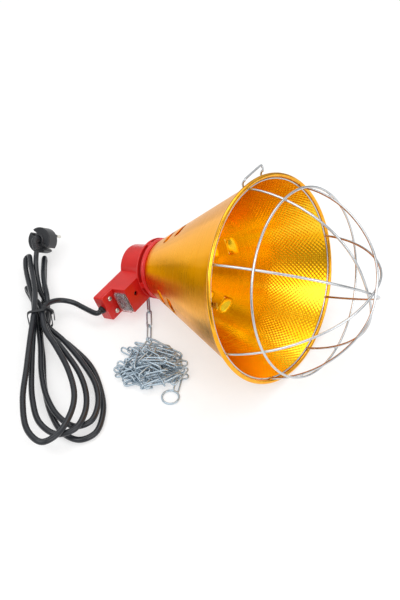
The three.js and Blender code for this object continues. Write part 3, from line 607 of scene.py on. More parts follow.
def reflector():
    verts, rings, along = [], [], []
    normal_x, normal_r = -math.sin(SLANT), math.cos(SLANT)

    def ring(x, r, s, shape=None):
        rings.append(len(verts))
        along.append(s)
        for j in range(AROUND):
            deg = 360.0 * j / AROUND
            d = shape(deg) if shape else 0.0
            verts.append(lamp(x + normal_x * d, deg, r + normal_r * d))
        return len(rings) - 1

    def slant(x):
        return (x - NECK_X) / math.cos(SLANT) * MM

    # stations shared by both walls in the louvred part
    stations = [NECK_X, -148.0, -144.0, -138.0, -131.0, -126.0]
    for lx in LOUVRE_X:
        stations += [lx - LOUVRE_FLAT[0], lx + SLOT[0], lx + SLOT[1]]
        stations += [lx + SLOT[1] + LOUVRE_RAMP * k / 9 for k in range(1, 10)]
        stations += [lx + SLOT[1] + LOUVRE_RAMP + LOUVRE_FLAT[1]]
    stations += [-86.0, -79.0, LOUVRES_FROM]
    outer, inner = [], []
    for x in stations:
        outer.append(ring(x, wall_r(x), slant(x), lambda deg, x=x: -louvre_dent(x, deg)))
    for k, x in enumerate(stations):
        xi = x + WALL if k == 0 else x
        inner.append(ring(xi, wall_r(xi) - INSET, slant(x), lambda deg, x=x: -louvre_dent(x, deg)))
    faces, looks = [], []

    def band(a, b, look, skip=()):
        for j in range(AROUND):
            if j in skip:
                continue
            l = (j + 1) % AROUND
            faces.append((rings[a] + j, rings[a] + l, rings[b] + l, rings[b] + j))
            u0, u1 = j / AROUND, (j + 1) / AROUND
            looks.append((look, ((u0, along[a]), (u1, along[a]), (u1, along[b]), (u0, along[b]))))

    def gap(x):
        """The columns that are open in the slot that starts at station x."""
        if not any(abs(x - lx - SLOT[0]) < 1e-6 for lx in LOUVRE_X):
            return ()
        half = (LOUVRE_HALF - SLOT_MARGIN) / wall_r(x) * 180 / math.pi
        open_at = set()
        for j in range(AROUND):
            deg = 360.0 * (j + 0.5) / AROUND
            if any(abs((deg - at + 180) % 360 - 180) < half for at in LOUVRE_AT):
                open_at.add(j)
        return open_at

    for k in range(len(stations) - 1):
        skip = gap(stations[k])
        band(outer[k], outer[k + 1], 0, skip)
        band(inner[k + 1], inner[k], 1, skip)
        for j in skip:  # the cut edges of the sheet
            l = (j + 1) % AROUND
            u = (j / AROUND, along[outer[k]])
            edges = [(outer[k], j, outer[k], l), (outer[k + 1], l, outer[k + 1], j)]
            if (j - 1) % AROUND not in skip:
                edges.append((outer[k + 1], j, outer[k], j))
            if l not in skip:
                edges.append((outer[k], l, outer[k + 1], l))
            for ra, ja, rb, jb in edges:
                ia, ib = ra - outer[0] + inner[0], rb - outer[0] + inner[0]
                faces.append((rings[ra] + ja, rings[rb] + jb, rings[ib] + jb, rings[ia] + ja))
                looks.append((1, (u, u, u, u)))

    # from the louvred part to the bead, outside
    last = outer[-1]
    for x, flare in ((-52.0, 0), (-30.0, 0), (-11.0, 0), (-9.0, 0.1), (-5.5, 0.4), (-3.2, 0.6)):
        new = ring(x, wall_r(x) + flare, slant(x))
        band(last, new, 0)
        last = new
    # the rolled bead
    for k in range(RIM_STEPS + 1):
        t = math.radians(RIM_ANGLES[0] + (RIM_ANGLES[1] - RIM_ANGLES[0]) * k / RIM_STEPS)
        new = ring(BEAD_R * math.cos(t), BEAD_CENTRE + BEAD_R * math.sin(t), slant(0) + k * 0.0004)
        band(last, new, 2 if k else 0)
        last = new
    # the embossed inner wall
    for k in range(EMBOSS_ROWS):
        x = EMBOSS_FROM + (LOUVRES_FROM - EMBOSS_FROM) * k / EMBOSS_ROWS
        s = (EMBOSS_FROM - x) / math.cos(SLANT)
        end = (x - EMBOSS_END[1]) / (EMBOSS_END[0] - EMBOSS_END[1])
        fade = min(1.0, s / 3.0) * max(0.0, min(1.0, end))
        wave = DIMPLE_DEPTH * fade * math.cos(TAU * s / DIMPLE_ROW)
        new = ring(
            x, wall_r(x) - INSET, slant(x), lambda deg, w=wave: w * math.cos(math.radians(deg) * DIMPLES)
        )
        band(last, new, 1)
        last = new
    band(last, inner[-1], 1)
    # the flange inside the collar
    f0 = ring(NECK_X, FLANGE_R, -0.01)
    f1 = ring(NECK_X + WALL, FLANGE_R, -0.01)
    band(f0, outer[0], 0)
    band(inner[0], f1, 1)
    band(f1, f0, 1)

    ob = mesh_object("reflector_spun", verts, faces)
    me = ob.data
    layer = me.uv_layers.new(name="spun")
    uv = np.array([q for _, corners in looks for q in corners], np.float32)
    layer.data.foreach_set("uv", uv.ravel())
    for mat in (M_GOLD_OUT, M_GOLD_IN, M_BEAD):
        me.materials.append(mat)
    me.polygons.foreach_set("material_index", np.array([look for look, _ in looks], np.int32))
    dress(ob, None, "reflector_cone", slot="reflector_gold")
    me.set_sharp_from_angle(angle=math.radians(55))


reflector()

# ---- guard
CROWN_AT, CROWN_SHIFT = -142.4, 16.1
BASE_RING = {"x": -0.8, "r": 99.7, "wire": 0.9, "shift": 0.0}
MID_RING = {"x": 38.0, "r": 91.7, "wire": 1.1, "shift": 1.6}
RIB_WIRE, RIB_FOOT_X, RIB_FOOT_R = 1.2, 0.4, 99.0
RIB_AT = (4.4, 48.1, 93.8, 138.7)
RIB_RISE, RIB_LAP, LAP_SPREAD, RIB_SPREAD, RIB_LIFT = 93.5, 2.7, 10, 0.8, 1.31
RING_STEPS, RIB_STEPS = 160, 120


def guard_ring(node, spec):
    points = []
    for k in range(RING_STEPS):
        deg = 360.0 * k / RING_STEPS
        points.append(lamp(spec["x"], deg, spec["r"]) + radial(CROWN_AT) * (spec["shift"] * MM))
    wire(node + "_wire", points, spec["wire"], M_WIRE, node, "guard", closed=True)


guard_ring("guard_base_ring", BASE_RING)
guard_ring("guard_middle_ring", MID_RING)

CROWN = radial(CROWN_AT) * (CROWN_SHIFT * MM)


def foot_reach(deg):
    """From the crown's line out to the foot circle, at a clock angle."""
    b = CROWN_SHIFT * radial(CROWN_AT).dot(radial(deg))
    return -b + math.sqrt(b * b - CROWN_SHIFT**2 + RIB_FOOT_R**2)


def rib_point(k, t):
    turn = math.pi * t
    deg = RIB_AT[k]
    reach = foot_reach(deg) if turn < math.pi / 2 else -foot_reach(deg + 180)
    out = reach * abs(math.cos(turn)) ** RIB_SPREAD
    up = max(math.sin(turn), 0.0)
    x = RIB_FOOT_X + RIB_RISE * up**RIB_LIFT + k * RIB_LAP * up**LAP_SPREAD
    return lamp(x, deg, out) + CROWN


for k in range(4):
    points = [rib_point(k, i / RIB_STEPS) for i in range(RIB_STEPS + 1)]
    wire(f"guard_rib_wire_{k + 1}", points, RIB_WIRE, M_WIRE, f"guard_rib_{k + 1}", "guard")


WELD_R = 1.15


def weld(name, a, b):
    """A spot weld's bead between two wires."""
    mid, gap = (a + b) / 2, b - a
    axis = gap.normalized()
    half = gap.length / 2 / MM
    bulge = []
    for deg in (-75, -45, -20, 0, 20, 45, 75):
        t = math.radians(deg)
        bulge.append((half * 1.1 * math.sin(t), WELD_R * math.cos(t) ** 0.6))
    profile = [(-half - 0.2, 0), *bulge, (half + 0.2, 0)]
    where = {"base": mid, "axis": axis, "side": axis.orthogonal().normalized()}
    turned(name, profile, M_WIRE, None, 14, False, 60, "guard", **where)


def nearest_on_rib(k, ring, first_half):
    """The rib's point and the ring's point that lie closest to each other."""
    best = None
    lo, hi = (0, RIB_STEPS // 2) if first_half else (RIB_STEPS // 2, RIB_STEPS)
    for i in range(lo, hi + 1):
        p = rib_point(k, i / RIB_STEPS)
        centre = lamp(ring["x"]) + radial(CROWN_AT) * (ring["shift"] * MM)
        flat = p - centre
        flat -= AXIS * flat.dot(AXIS)
        q = centre + flat.normalized() * (ring["r"] * MM)
        if best is None or (p - q).length < best[0]:
            best = ((p - q).length, p, q)
    return best[1], best[2]


for k in range(4):
    for side in (True, False):
        for label, ring in (("base", BASE_RING), ("middle", MID_RING)):
            p, q = nearest_on_rib(k, ring, side)
            weld(f"guard_weld_{label}_{k + 1}_{'ab'[side]}", p, q)

HINGE_HALF, HINGE_RING, HINGE_WIRE = 15.0, 4.9, 1.1
HINGE_REACH = (6.2, 10.0)  # how far the bar stands off: HINGE_SIDE runs toward its low end
LEG_END = (-2.2, 98.6)  # each leg ends here, just behind the base ring
LEG_SWEEP = (232, 108)  # angles round the bead between which a leg curls
BAR_LEAN = math.radians(101)  # angle round the bead at which the bar stands off


def hinge_point(x, across, r):
    return lamp(x, HINGE_AT, r) + HINGE_SIDE * (across * MM)


def hinge_side(side):
    points = [hinge_point(LEG_END[0], side * HINGE_HALF, LEG_END[1])]
    for i in range(7):
        t = math.radians(LEG_SWEEP[0] - (LEG_SWEEP[0] - LEG_SWEEP[1]) * i / 6)
        out = BEAD_CENTRE + HINGE_RING * math.sin(t)
        points.append(hinge_point(HINGE_RING * math.cos(t), side * HINGE_HALF, out))
    reach = HINGE_REACH[side < 0]
    bar_x, bar_r = reach * math.cos(BAR_LEAN), reach * math.sin(BAR_LEAN)
    for grow, inward in ((0.84, 0.0), (0.98, 0.5), (1.0, 1.9)):
        points.append(hinge_point(bar_x * grow, side * (HINGE_HALF - inward), BEAD_CENTRE + bar_r * grow))
    return points


hinge_line = spline(hinge_side(1) + hinge_side(-1)[::-1], 6)
wire("guard_hinge_wire", hinge_line, HINGE_WIRE, M_WIRE, "guard_hinge_loop", "guard")

CATCH_AT, CATCH_HALF = 71.0, 2.5
CATCH = [
    (-16, 92.6), (-4.2, 97.9), (-1.5, 97.2), (3.4, 97.2), (4.4, 96.6),
    (4.8, 97.2), (3.6, 97.9), (-1.3, 97.9), (-4.0, 98.7), (-16, 93.4),
]
catch = prism(
    "guard_catch_leaf", fillet(CATCH, 0.5, 2), -CATCH_HALF, CATCH_HALF, 0.12,
    lambda x, r, across: lamp(x, CATCH_AT, r) + radial(CATCH_AT + 90) * (across * MM),
)
dress(catch, M_CATCH, "guard_catch", 40)

# ---- collar, and what shows through its vent
COLLAR_R, COLLAR_BORE = 34.8, 24.0
RING_BACK, DISC_FRONT, DISC_BACK = -156.4, -161.0, -163.0
BRIDGE_AT, BRIDGE_HALF, BRIDGE_IN, BRIDGE_OUT, BRIDGE_BITE = (93.0, 183.0, 273.0, 3.0), 3.5, 31.1, 34.1, 0.5
SKIRT_IN, SKIRT_OUT = 24.2, 29.8
front_ring = fillet(
    [
        (RING_BACK, COLLAR_BORE), (RING_BACK, COLLAR_R), (-154.5, COLLAR_R), (-153.6, 34.1), (-151.2, 33.9),
        (-151.2, COLLAR_BORE),
    ],
    [0.2, 0.7, 0.5, 0.4, 0.3, 0.2], 3,
)
turned("cap_collar_ring", front_ring, M_RED, "cap_collar", 160)
rear_ring = fillet(
    [(DISC_BACK, COLLAR_BORE), (DISC_BACK, COLLAR_R), (DISC_FRONT, COLLAR_R), (DISC_FRONT, COLLAR_BORE)],
    [0.2, 0.6, 0.6, 0.2], 3,
)
turned("cap_collar_disc", rear_ring, M_RED, "cap_collar", 160)
bridge_outline = fillet(rectangle(-BRIDGE_HALF, BRIDGE_HALF, BRIDGE_IN, BRIDGE_OUT), 0.7, 3)
for i, at in enumerate(BRIDGE_AT):
    side = radial(at + 90)
    bridge = prism(
        f"cap_collar_bridge_{i + 1}", bridge_outline, DISC_FRONT - BRIDGE_BITE, RING_BACK + BRIDGE_BITE, 0.0,
        lambda a, r, x, at=at, side=side: lamp(x, at, r) + side * (a * MM),
    )
    dress(bridge, M_RED, "cap_collar", 40)
skirt_x0, skirt_x1 = DISC_FRONT + GAP, RING_BACK - GAP
skirt = [(skirt_x0, SKIRT_IN), (skirt_x0, SKIRT_OUT), (skirt_x1, SKIRT_OUT), (skirt_x1, SKIRT_IN)]
# painted shade: this near-black band darkens the collar's vent gap
turned("lampholder_skirt_band", skirt, M_VENT_SHADE, "lampholder_skirt", 120)

# ---- cap housing, arm and cover
HOUSING_BACK, HOUSING_FRONT, HOUSING_R, HOUSING_WALL = -197.4, -163.3, 26.0, 2.2
ARM_END, ARM_TOP, ARM_BOTTOM, ARM_STEP, ARM_LOW = 73.8, -11.0, 19.7, 55.5, -182.9
COVER, CORNER, SCREW_HOLE = 3.0, 2.4, 1.7
END_FACE = ARM_LOW - COVER - GAP
PIT = HOUSING_BACK + HOUSING_WALL
INSIDE = HOUSING_R - HOUSING_WALL
BORE_W, BORE_X, BORE_R = 4.35, -190.6, 4.1
PILOT_BACK, PILOT_LONG = -194.5, 9.5  # the cover screws' holes in the housing
RECESS_DEEP, RECESS_R = 3.2, (2.3, 2.9)  # the housing screw's recess, wider at the front
COVER_SCREWS = ((64.7, -4.4), (63.2, 13.6))
HOUSING_SCREW = (43.0, 2.7)
SWITCH_W, SWITCH_X = 6.3, -173.0


def arm_outline(r, end, top, bottom, corner, steps=72):
    """The cap seen along the axis: a round drum with a straight-sided arm."""
    top_u, bottom_u = math.sqrt(r * r - top * top), math.sqrt(r * r - bottom * bottom)
    tip = fillet([(top_u, top), (end, top), (end, bottom), (bottom_u, bottom)], [0, corner, corner, 0], 5)
    a0, a1 = math.asin(bottom / r), TAU + math.asin(top / r)
    turns = [a0 + (a1 - a0) * k / steps for k in range(1, steps)]
    return tip + [(r * math.cos(t), r * math.sin(t)) for t in turns]


def switch_block(name, u0, u1, half_w, half_x, bevel=0.0):
    """A block centred on the switch."""
    w, x = SWITCH_W, SWITCH_X
    return block(name, u0, u1, w - half_w, w + half_w, x - half_x, x + half_x, bevel)


skin = arm_outline(HOUSING_R, ARM_END, ARM_TOP, ARM_BOTTOM, CORNER)
housing = slab("cap_housing_shell", skin, HOUSING_BACK, HOUSING_FRONT)
hollow = arm_outline(INSIDE, ARM_STEP - HOUSING_WALL, ARM_TOP + HOUSING_WALL, ARM_BOTTOM - HOUSING_WALL, 1.0)
tools = [
    block("cut_step", ARM_STEP, ARM_END + 6, -30, 40, END_FACE, 0),
    slab("cut_inside", hollow, PIT, HOUSING_FRONT - HOUSING_WALL),
    cylinder("cut_mouth", lamp(-168), AXIS, INSIDE, 8, segments=72),
    switch_block("cut_switch", ARM_STEP - 4, ARM_STEP + 3, 10.6, 6.9),
    cylinder("cut_bore", arm(ARM_STEP - 3.2, BORE_W, BORE_X), ARM_U, BORE_R, ARM_END - ARM_STEP + 6),
]
combine(housing, tools)
soften(housing, 1.3)
holes = [cylinder("cut_screw", arm(u, w, PILOT_BACK), AXIS, SCREW_HOLE, PILOT_LONG) for u, w in COVER_SCREWS]
recess = arm(*HOUSING_SCREW, HOUSING_FRONT - RECESS_DEEP)
holes.append(cylinder("cut_screw", recess, AXIS, RECESS_R[0], RECESS_DEEP + 1, RECESS_R[1]))
combine(housing, holes)
dress(housing, M_RED, "cap_housing", 32)

edge = fillet(rectangle(ARM_STEP + GAP, ARM_END, ARM_TOP, ARM_BOTTOM), [0.4, CORNER, CORNER, 0.4], 4)
cover = slab("cord_grip_cover_plate", edge, ARM_LOW - COVER, ARM_LOW)
cover_back = ARM_LOW - COVER - 1
combine(cover, [cylinder("cut_screw", arm(u, w, cover_back), AXIS, SCREW_HOLE, 6) for u, w in COVER_SCREWS])
soften(cover, 0.7)
dress(cover, M_RED, "cord_grip_cover", 32)
SHANK_R = 1.35


def screw(name, at, head_r, head_h, shank, node):
    """A pan-head screw with a cross recess; at is the point under its head."""
    profile = [(head_h, 0)]
    for deg in (0, 25, 50, 75, 90):
        t = math.radians(deg)
        profile.append((head_h * (0.3 + 0.7 * math.cos(t)), head_r * (0.55 + 0.45 * math.sin(t))))
    profile += [(0, head_r), (0, SHANK_R), (-shank + 1.2, SHANK_R), (-shank, 0)]
    ob = solid(name, *lathe(profile, 40, at, AXIS, ARM_U))
    slots = []
    reach, half = head_r * 0.62, 0.36
    outline = rectangle(-reach, reach, -half, half)
    for spin in (35, 125):
        t = math.radians(spin)
        d = (ARM_U * math.cos(t) + ARM_W * math.sin(t)).normalized()
        e = AXIS.cross(d)

        def place(a, b, x, d=d, e=e):
            return at + (d * a + e * b + AXIS * x) * MM

        slots.append(prism("cut_slot", outline, head_h * 0.42, head_h * 2, 0.0, place))
    combine(ob, slots)
    dress(ob, M_SCREW, node, 35)


for i, (u, w) in enumerate(COVER_SCREWS):
    screw(f"cover_screw_head_{i + 1}", arm(u, w, ARM_LOW + GAP), 2.7, 1.7, 11, f"cover_screw_{i + 1}")
screw("housing_screw_head", arm(*HOUSING_SCREW, -168.6), 2.8, 1.8, 26, "housing_screw")

# ---- economy switch
BOOT_U0 = ARM_STEP + GAP
BOOT_DEEP, BOOT_W, BOOT_X, BOOT_WALL, BOOT_CORNER = 3.7, 12.7, 8.6, 1.2, 2.6


def box_rings(rings, corner):
    """A closed skin through rounded rectangles, each (u, half w, half x)."""
    verts, m = [], 0
    for u, hw, hx in rings:
        c = min(corner, hw * 0.9, hx * 0.9)
        loop = fillet(rectangle(-hw, hw, -hx, hx), c, 6)
        m = len(loop)
        verts += [arm(u, SWITCH_W + a, SWITCH_X + b) for a, b in loop]
    return verts, bands(len(rings), m)


def rounded_lid(u0, u1, hw, hx, soft, inward=0.0):
    """Rings from the base at u0 up and over a softly rounded top edge at u1."""
    rings = [(u0, hw - inward, hx - inward)]
    for a in range(0, 91, 15):
        t = math.radians(a)
        shrink = soft * (1 - math.cos(t)) + inward
        rings.append((u1 - soft * (1 - math.sin(t)), hw - shrink, hx - shrink))
    return rings


outer = rounded_lid(BOOT_U0, BOOT_U0 + BOOT_DEEP, BOOT_W, BOOT_X, 1.8)
inner = rounded_lid(BOOT_U0, BOOT_U0 + BOOT_DEEP - BOOT_WALL, BOOT_W, BOOT_X, 1.4, BOOT_WALL)
# close the inner skin to the outer one round the foot
boot = solid("switch_boot_membrane", *box_rings(inner[::-1] + outer, BOOT_CORNER))
dress(boot, M_CLEAR, "switch_boot", 50)

switch = switch_block("rocker_switch_frame", BOOT_U0, BOOT_U0 + 1.2, 11.1, 7.0, 0.35)
back = switch_block("switch_back", 46.6, BOOT_U0 + 0.4, 10.2, 6.5)
combine(switch, [back], "UNION")
combine(switch, [switch_block("cut_well", 48.6, 60, 9.4, 5.2)])
dress(switch, M_BLACK, "rocker_switch_body", 35)

PIVOT_U, KEY_HALF, ROCKER_REST = 52.6, 4.7, math.radians(-8)
rocker_level = fillet(
    [(-8.2, -1.0), (-8.2, 4.5), (-4.2, 3.7), (0, 3.35), (4.2, 3.7), (8.2, 4.5), (8.2, -1.0), (0, -2.4)],
    [0.4, 0.6, 1.5, 1.5, 1.5, 0.6, 0.4, 1.0], 3,
)
cos_rest, sin_rest = math.cos(ROCKER_REST), math.sin(ROCKER_REST)
rocker_outline = [
    (PIVOT_U + u * cos_rest + w * sin_rest, SWITCH_W + w * cos_rest - u * sin_rest) for w, u in rocker_level
]
rocker = slab("rocker_key", rocker_outline, SWITCH_X - KEY_HALF, SWITCH_X + KEY_HALF, 0.35)
dress(rocker, M_BLACK, "rocker", 35, "rocker")

# ---- lampholder, seen through the mouth
holder = fillet(
    [
        (-188.2, 0.4), (-188.2, 21.2), (-166, 21.2), (-165, 22.2), (-130, 22.2), (-128, 20.6),
        (-128, 15.4), (-180, 15.4), (-180, 0.4),
    ],
    [0, 1, 0.4, 0.4, 1.2, 0.9, 0.8, 0.5, 0], 3,
)
turned("lampholder_porcelain", holder, M_CERAMIC, "lampholder_body", 120)
SHELL_R, SHELL_WALL, THREAD_BACK, THREAD_FRONT = 14.6, 0.7, -168, -152
THREAD_STEPS, WAVE_STEPS, WAVE_HALF = 36, 8, 0.5  # the rolled thread's points, points a wave, and half depth
wave_out = []
for k in range(1, THREAD_STEPS):
    x = THREAD_BACK + (THREAD_FRONT - THREAD_BACK) * k / THREAD_STEPS
    wave_out.append((x, SHELL_R - WAVE_HALF + WAVE_HALF * math.cos(TAU * k / WAVE_STEPS)))
outside = [(-179.4, SHELL_R), (THREAD_BACK, SHELL_R), *wave_out, (THREAD_FRONT, SHELL_R), (-136, SHELL_R)]
inside = [(x, r - SHELL_WALL) for x, r in reversed(outside[1:])]
shell = [(-179.4, 5.2), *outside, *inside, (-178.6, SHELL_R - SHELL_WALL), (-178.6, 5.2)]
turned("lampholder_thread", shell, M_BRASS, "lampholder_shell", 72)
turned(
    "centre_contact_button",
    [(-179.6, 0), (-179.6, 4.6), (-178.4, 4.6), (-176.2, 3.0), (-175.2, 1.5), (-175, 0)],
    M_BRASS, "centre_contact", 48, closed=False,
)
NECK_SCREWS, NECK_SCREW_R = (48.0, 168.0, 288.0), 27.8
for i, at in enumerate(NECK_SCREWS):
    turned(
        f"reflector_screw_head_{i + 1}",
        [(1.9, 0), (1.85, 1.0), (1.5, 2.0), (0.9, 2.6), (0, 2.8), (0, 1.5), (-6.2, 1.5), (-6.2, 0)],
        M_SCREW, f"reflector_screw_{i + 1}", 32, closed=False,
        base=lamp(NECK_X + WALL + GAP, at, NECK_SCREW_R),
    )
for node, mat in (
    ("lampholder_bracket", M_STEEL), ("lampholder_screw_1", M_SCREW), ("lampholder_screw_2", M_SCREW),
    ("terminal_block", M_CERAMIC), ("power_diode", M_BLACK), ("live_lead", M_BROWN), ("neutral_lead", M_BLUE),
    ("switch_lead", M_BLACK), ("switch_return_lead", M_BLACK),
):
    frame["nodes"][node].data.materials.clear()
    frame["nodes"][node].data.materials.append(mat)

# ---- supply cable
CABLE_R = 3.0
gland = [
    (-5.5, 3.5), (-5.5, 3.75), (0.3, 3.75), (0.3, 4.5), (1.2, 4.5), (1.4, 4.15), (1.9, 4.15), (2.1, 4.35),
    (2.9, 4.2), (3.1, 3.9), (3.4, 3.8), (3.4, 3.3), (-5.5, 3.3),
]
turned(
    "cable_gland_sleeve", gland, M_BLACK, "cable_gland", 40,
    base=arm(ARM_END, BORE_W, BORE_X), axis=ARM_U, side=AXIS,
)

# Each turn's height where the tie holds it, and its height elsewhere.
H4, H3, H2, H1, LOW = 24.6, 18.1, 11.6, 5.1, 1.8
L4, L3, L2, L1 = H4 - LOW, H3 - LOW, H2 - LOW, H1 - LOW


def hairpin(a, b, out):
    """A tight turn back from a to b, bulging along out."""
    a, b, out = Vector(a), Vector(b), Vector(out)
    middle = (a + b) / 2
    half = a - middle
    reach = out.normalized() * half.length
    turns = [math.radians(deg) for deg in (0, 45, 90, 135, 180)]
    return [tuple(middle + half * math.cos(t) + reach * math.sin(t)) for t in turns]


COIL = [
    (-188.4, 36.3, 15.8), (-192, 37.4, 15), (-198, 41.8, 14), (-208, 49.2, 13.4), (-216.5, 55, 13.4),
    (-225, 57.4, 14.4), (-233.5, 56, 16.8), (-240.7, 49.6, 20.6), (-245.4, 40.6, 23.6),
    # first turn
    (-247, 28, H4), (-241, 5, L4), (-226, -20, L4), (-208, -54, L4), (-198, -86, L4),
    (-199, -110, L4), (-208, -133, L4), (-221, -141.6, L4), (-236, -129, L4),
    (-247, -94, L4), (-251, -50, L4), (-254.5, -2, H4), (-256.5, 30, H4), (-260.5, 60, H4 - 0.6),
    (-267.6, 88, H4 - 2), (-275.4, 114, H4 - 4.4),
    *hairpin((-279.6, 130.4, 18.8), (-285, 130, 14.6), (-0.2, 1, -0.2)),
    (-282.6, 116, 13.8), (-276.6, 96, 14.8), (-268.6, 72, 16.4), (-260.8, 48, H3),
    # second turn
    (-257, 26, H3), (-253.5, 0, H3), (-249, -36, L3), (-240, -86, L3), (-228, -115, L3),
    (-210, -128, L3), (-194, -122, L3), (-187, -106, L3), (-187, -84, L3),
    (-197, -54, L3), (-220, -18, L3), (-239, 7, L3), (-248, 30, H3), (-253, 46, 16),
    (-258, 56, 12.6), (-264.6, 66, 10), (-271.4, 77, 9.2),
    *hairpin((-275.6, 84, 9.2), (-275.6, 84, 2.9), (-0.5, 0.85, 0)),
    (-270.6, 75, 2.9), (-263.8, 62, 3.2), (-260.2, 52.5, 6), (-258, 43, 10.2),
    # third turn
    (-254, 26, H2), (-246, -6, L2), (-238, -48, L2), (-227, -80, L2), (-212, -103, L2),
    (-195, -114, L2), (-181, -108, L2), (-176, -88, L2), (-181, -62, L2),
    (-198, -32, L2), (-222, 0, L2), (-243, 22, H2), (-245.4, 38, H2), (-247, 54, 14.6),
    (-250, 68, 16.4), (-255.4, 86, 14.4), (-260.8, 108, 11.8), (-263.6, 126, 10),
    *hairpin((-265, 138.6, 9.2), (-265, 138.6, 2.9), (0, 1, 0)),
    (-263.4, 126, 2.9), (-260, 104, 2.9), (-256, 78, 2.9), (-254.4, 56, 3.2), (-253.2, 40, 4.6),
    # fourth turn
    (-250, 14, H1 - 1), (-242, -20, L1), (-234, -60, L1), (-222, -94, L1),
    (-206, -118, L1), (-190, -125, L1), (-176, -117, L1), (-171, -92, L1),
    (-176, -64, L1), (-190, -31, L1), (-217, 0, L1), (-242.6, 22, H1), (-245, 38, H1),
    (-248, 52, 6.6),
    # up to the plug
    (-252, 64, 9.4), (-259.4, 78, 10), (-265.8, 97, 12.4), (-269.4, 113, 16.8), (-270.6, 124, 21.4),
    (-270.3, 131.4, 26.6),
]
lead_in = [arm(u, BORE_W, BORE_X) for u in (58, 66, 73, 77)]
cable_line = spline(lead_in + [floor(*p) for p in COIL], 9)
wire("cable_jacket_run", cable_line, CABLE_R, M_CABLE, "cable", sides=20)

TIE = {"x": -250.9, "y": 27.0, "half": 12.1, "middle": 15.0, "rise": 13.8, "lean": 0.25}


def tie_point(turn, grow=0.0):
    """A point of the tie's rounded square, from its right side upward."""

    def squared(v):
        return math.copysign(abs(v) ** (1 / 3), v)

    s = (TIE["half"] + grow) * squared(math.cos(turn))
    z = TIE["middle"] + (TIE["rise"] + grow) * squared(math.sin(turn))
    return floor(TIE["x"] + s, TIE["y"] + s * TIE["lean"], z)


BAND_HALF = [(-0.55, -1.5), (-0.25, -1.75), (0.35, -1.75), (0.55, -1.5)]
BAND = BAND_HALF + [(thick, -wide) for thick, wide in reversed(BAND_HALF)]


def strap(name, points, closed, side):
    """A flat piece of the tie along points; side is the direction across its width."""
    pts = [np.array(tuple(p)) for p in points]
    n, verts = len(pts), []
    side = np.array(tuple(side))
    for i in range(n):
        a = pts[i - 1] if closed or i else pts[0]
        b = pts[(i + 1) % n] if closed or i < n - 1 else pts[-1]
        tan = (b - a) / np.linalg.norm(b - a)
        across = side - tan * (side @ tan)
        across /= np.linalg.norm(across)
        out = np.cross(across, tan)
        verts += [pts[i] + (out * p + across * q) * MM for p, q in BAND]
    dress(solid(name, verts, bands(n, len(BAND), closed)), M_BLACK, "cable_tie", 50)


TIE_ACROSS = Vector((-TIE["lean"], 1.0, 0.0)).normalized()
loop = [tie_point(TAU * (k + 0.5) / 96) for k in range(96)]
strap("cable_tie_strap", loop, True, TIE_ACROSS)
tie_out = Vector((1.0, TIE["lean"], 0.0)).normalized()
HEAD_REACH, HEAD_HALF = 2.6, 2.2  # the ratchet head stands out this far, and is square
head_at = tie_point(0.35) + Vector((0, 0, -1.0)) * MM


def by_head(a, b, x):
    """A point near the tie's head: a outward, b upward, x across the strap."""
    return head_at + (tie_out * a + Vector((0, 0, 1)) * b + TIE_ACROSS * x) * MM


head_outline = fillet(rectangle(-0.4, HEAD_REACH, -HEAD_HALF, HEAD_HALF), 0.7, 3)
head = prism("cable_tie_head", head_outline, -HEAD_HALF, HEAD_HALF, 0.3, by_head)
dress(head, M_BLACK, "cable_tie", 40)
TAIL = ((-6.4, 9.6), (-3.0, 7.6), (0.6, 4.0), (3.2, 0.4), (3.6, -4.5), (3.2, -12.0))
strap("cable_tie_tail", spline([by_head(a, b, 0.0) for a, b in TAIL], 7), False, TIE_ACROSS)

# ---- plug
PLUG_FACE = Vector(MOUNT["plug_face"]["pos_m"])
PIN_DIR = Vector(MOUNT["plug_face"]["axis"]).normalized()
NOTCH_DIR = Vector((0.611, -0.695, -0.377))
NOTCH_DIR = (NOTCH_DIR - PIN_DIR * NOTCH_DIR.dot(PIN_DIR)).normalized()
PIN_LINE = PIN_DIR.cross(NOTCH_DIR).normalized()
PLUG_R, PLUG_THICK, PIN_LONG, PIN_R, PIN_HALF = 15.4, 17.0, 19.0, 2.0, 9.5


def plug(a, b, x):
    return PLUG_FACE + (NOTCH_DIR * a + PIN_LINE * b + PIN_DIR * x) * MM


def plug_outline(r, notch_r, notch_at=9.6, half=1.9, mouth=0.13, steps=40):
    out = []
    for side in (0.0, math.pi):
        def turn(a, b, side=side):
            return (a * math.cos(side) - b * math.sin(side), a * math.sin(side) + b * math.cos(side))

        out.append(turn(r * math.cos(mouth), -r * math.sin(mouth)))
        a0 = math.asin(half / notch_r)
        for k in range(17):
            t = -a0 - (TAU - 2 * a0) * k / 16
            out.append(turn(notch_at + notch_r * math.cos(t), notch_r * math.sin(t)))
        out.append(turn(r * math.cos(mouth), r * math.sin(mouth)))
        for k in range(1, steps):
            t = mouth + (math.pi - 2 * mouth) * k / steps
            out.append(turn(r * math.cos(t), r * math.sin(t)))
    return out


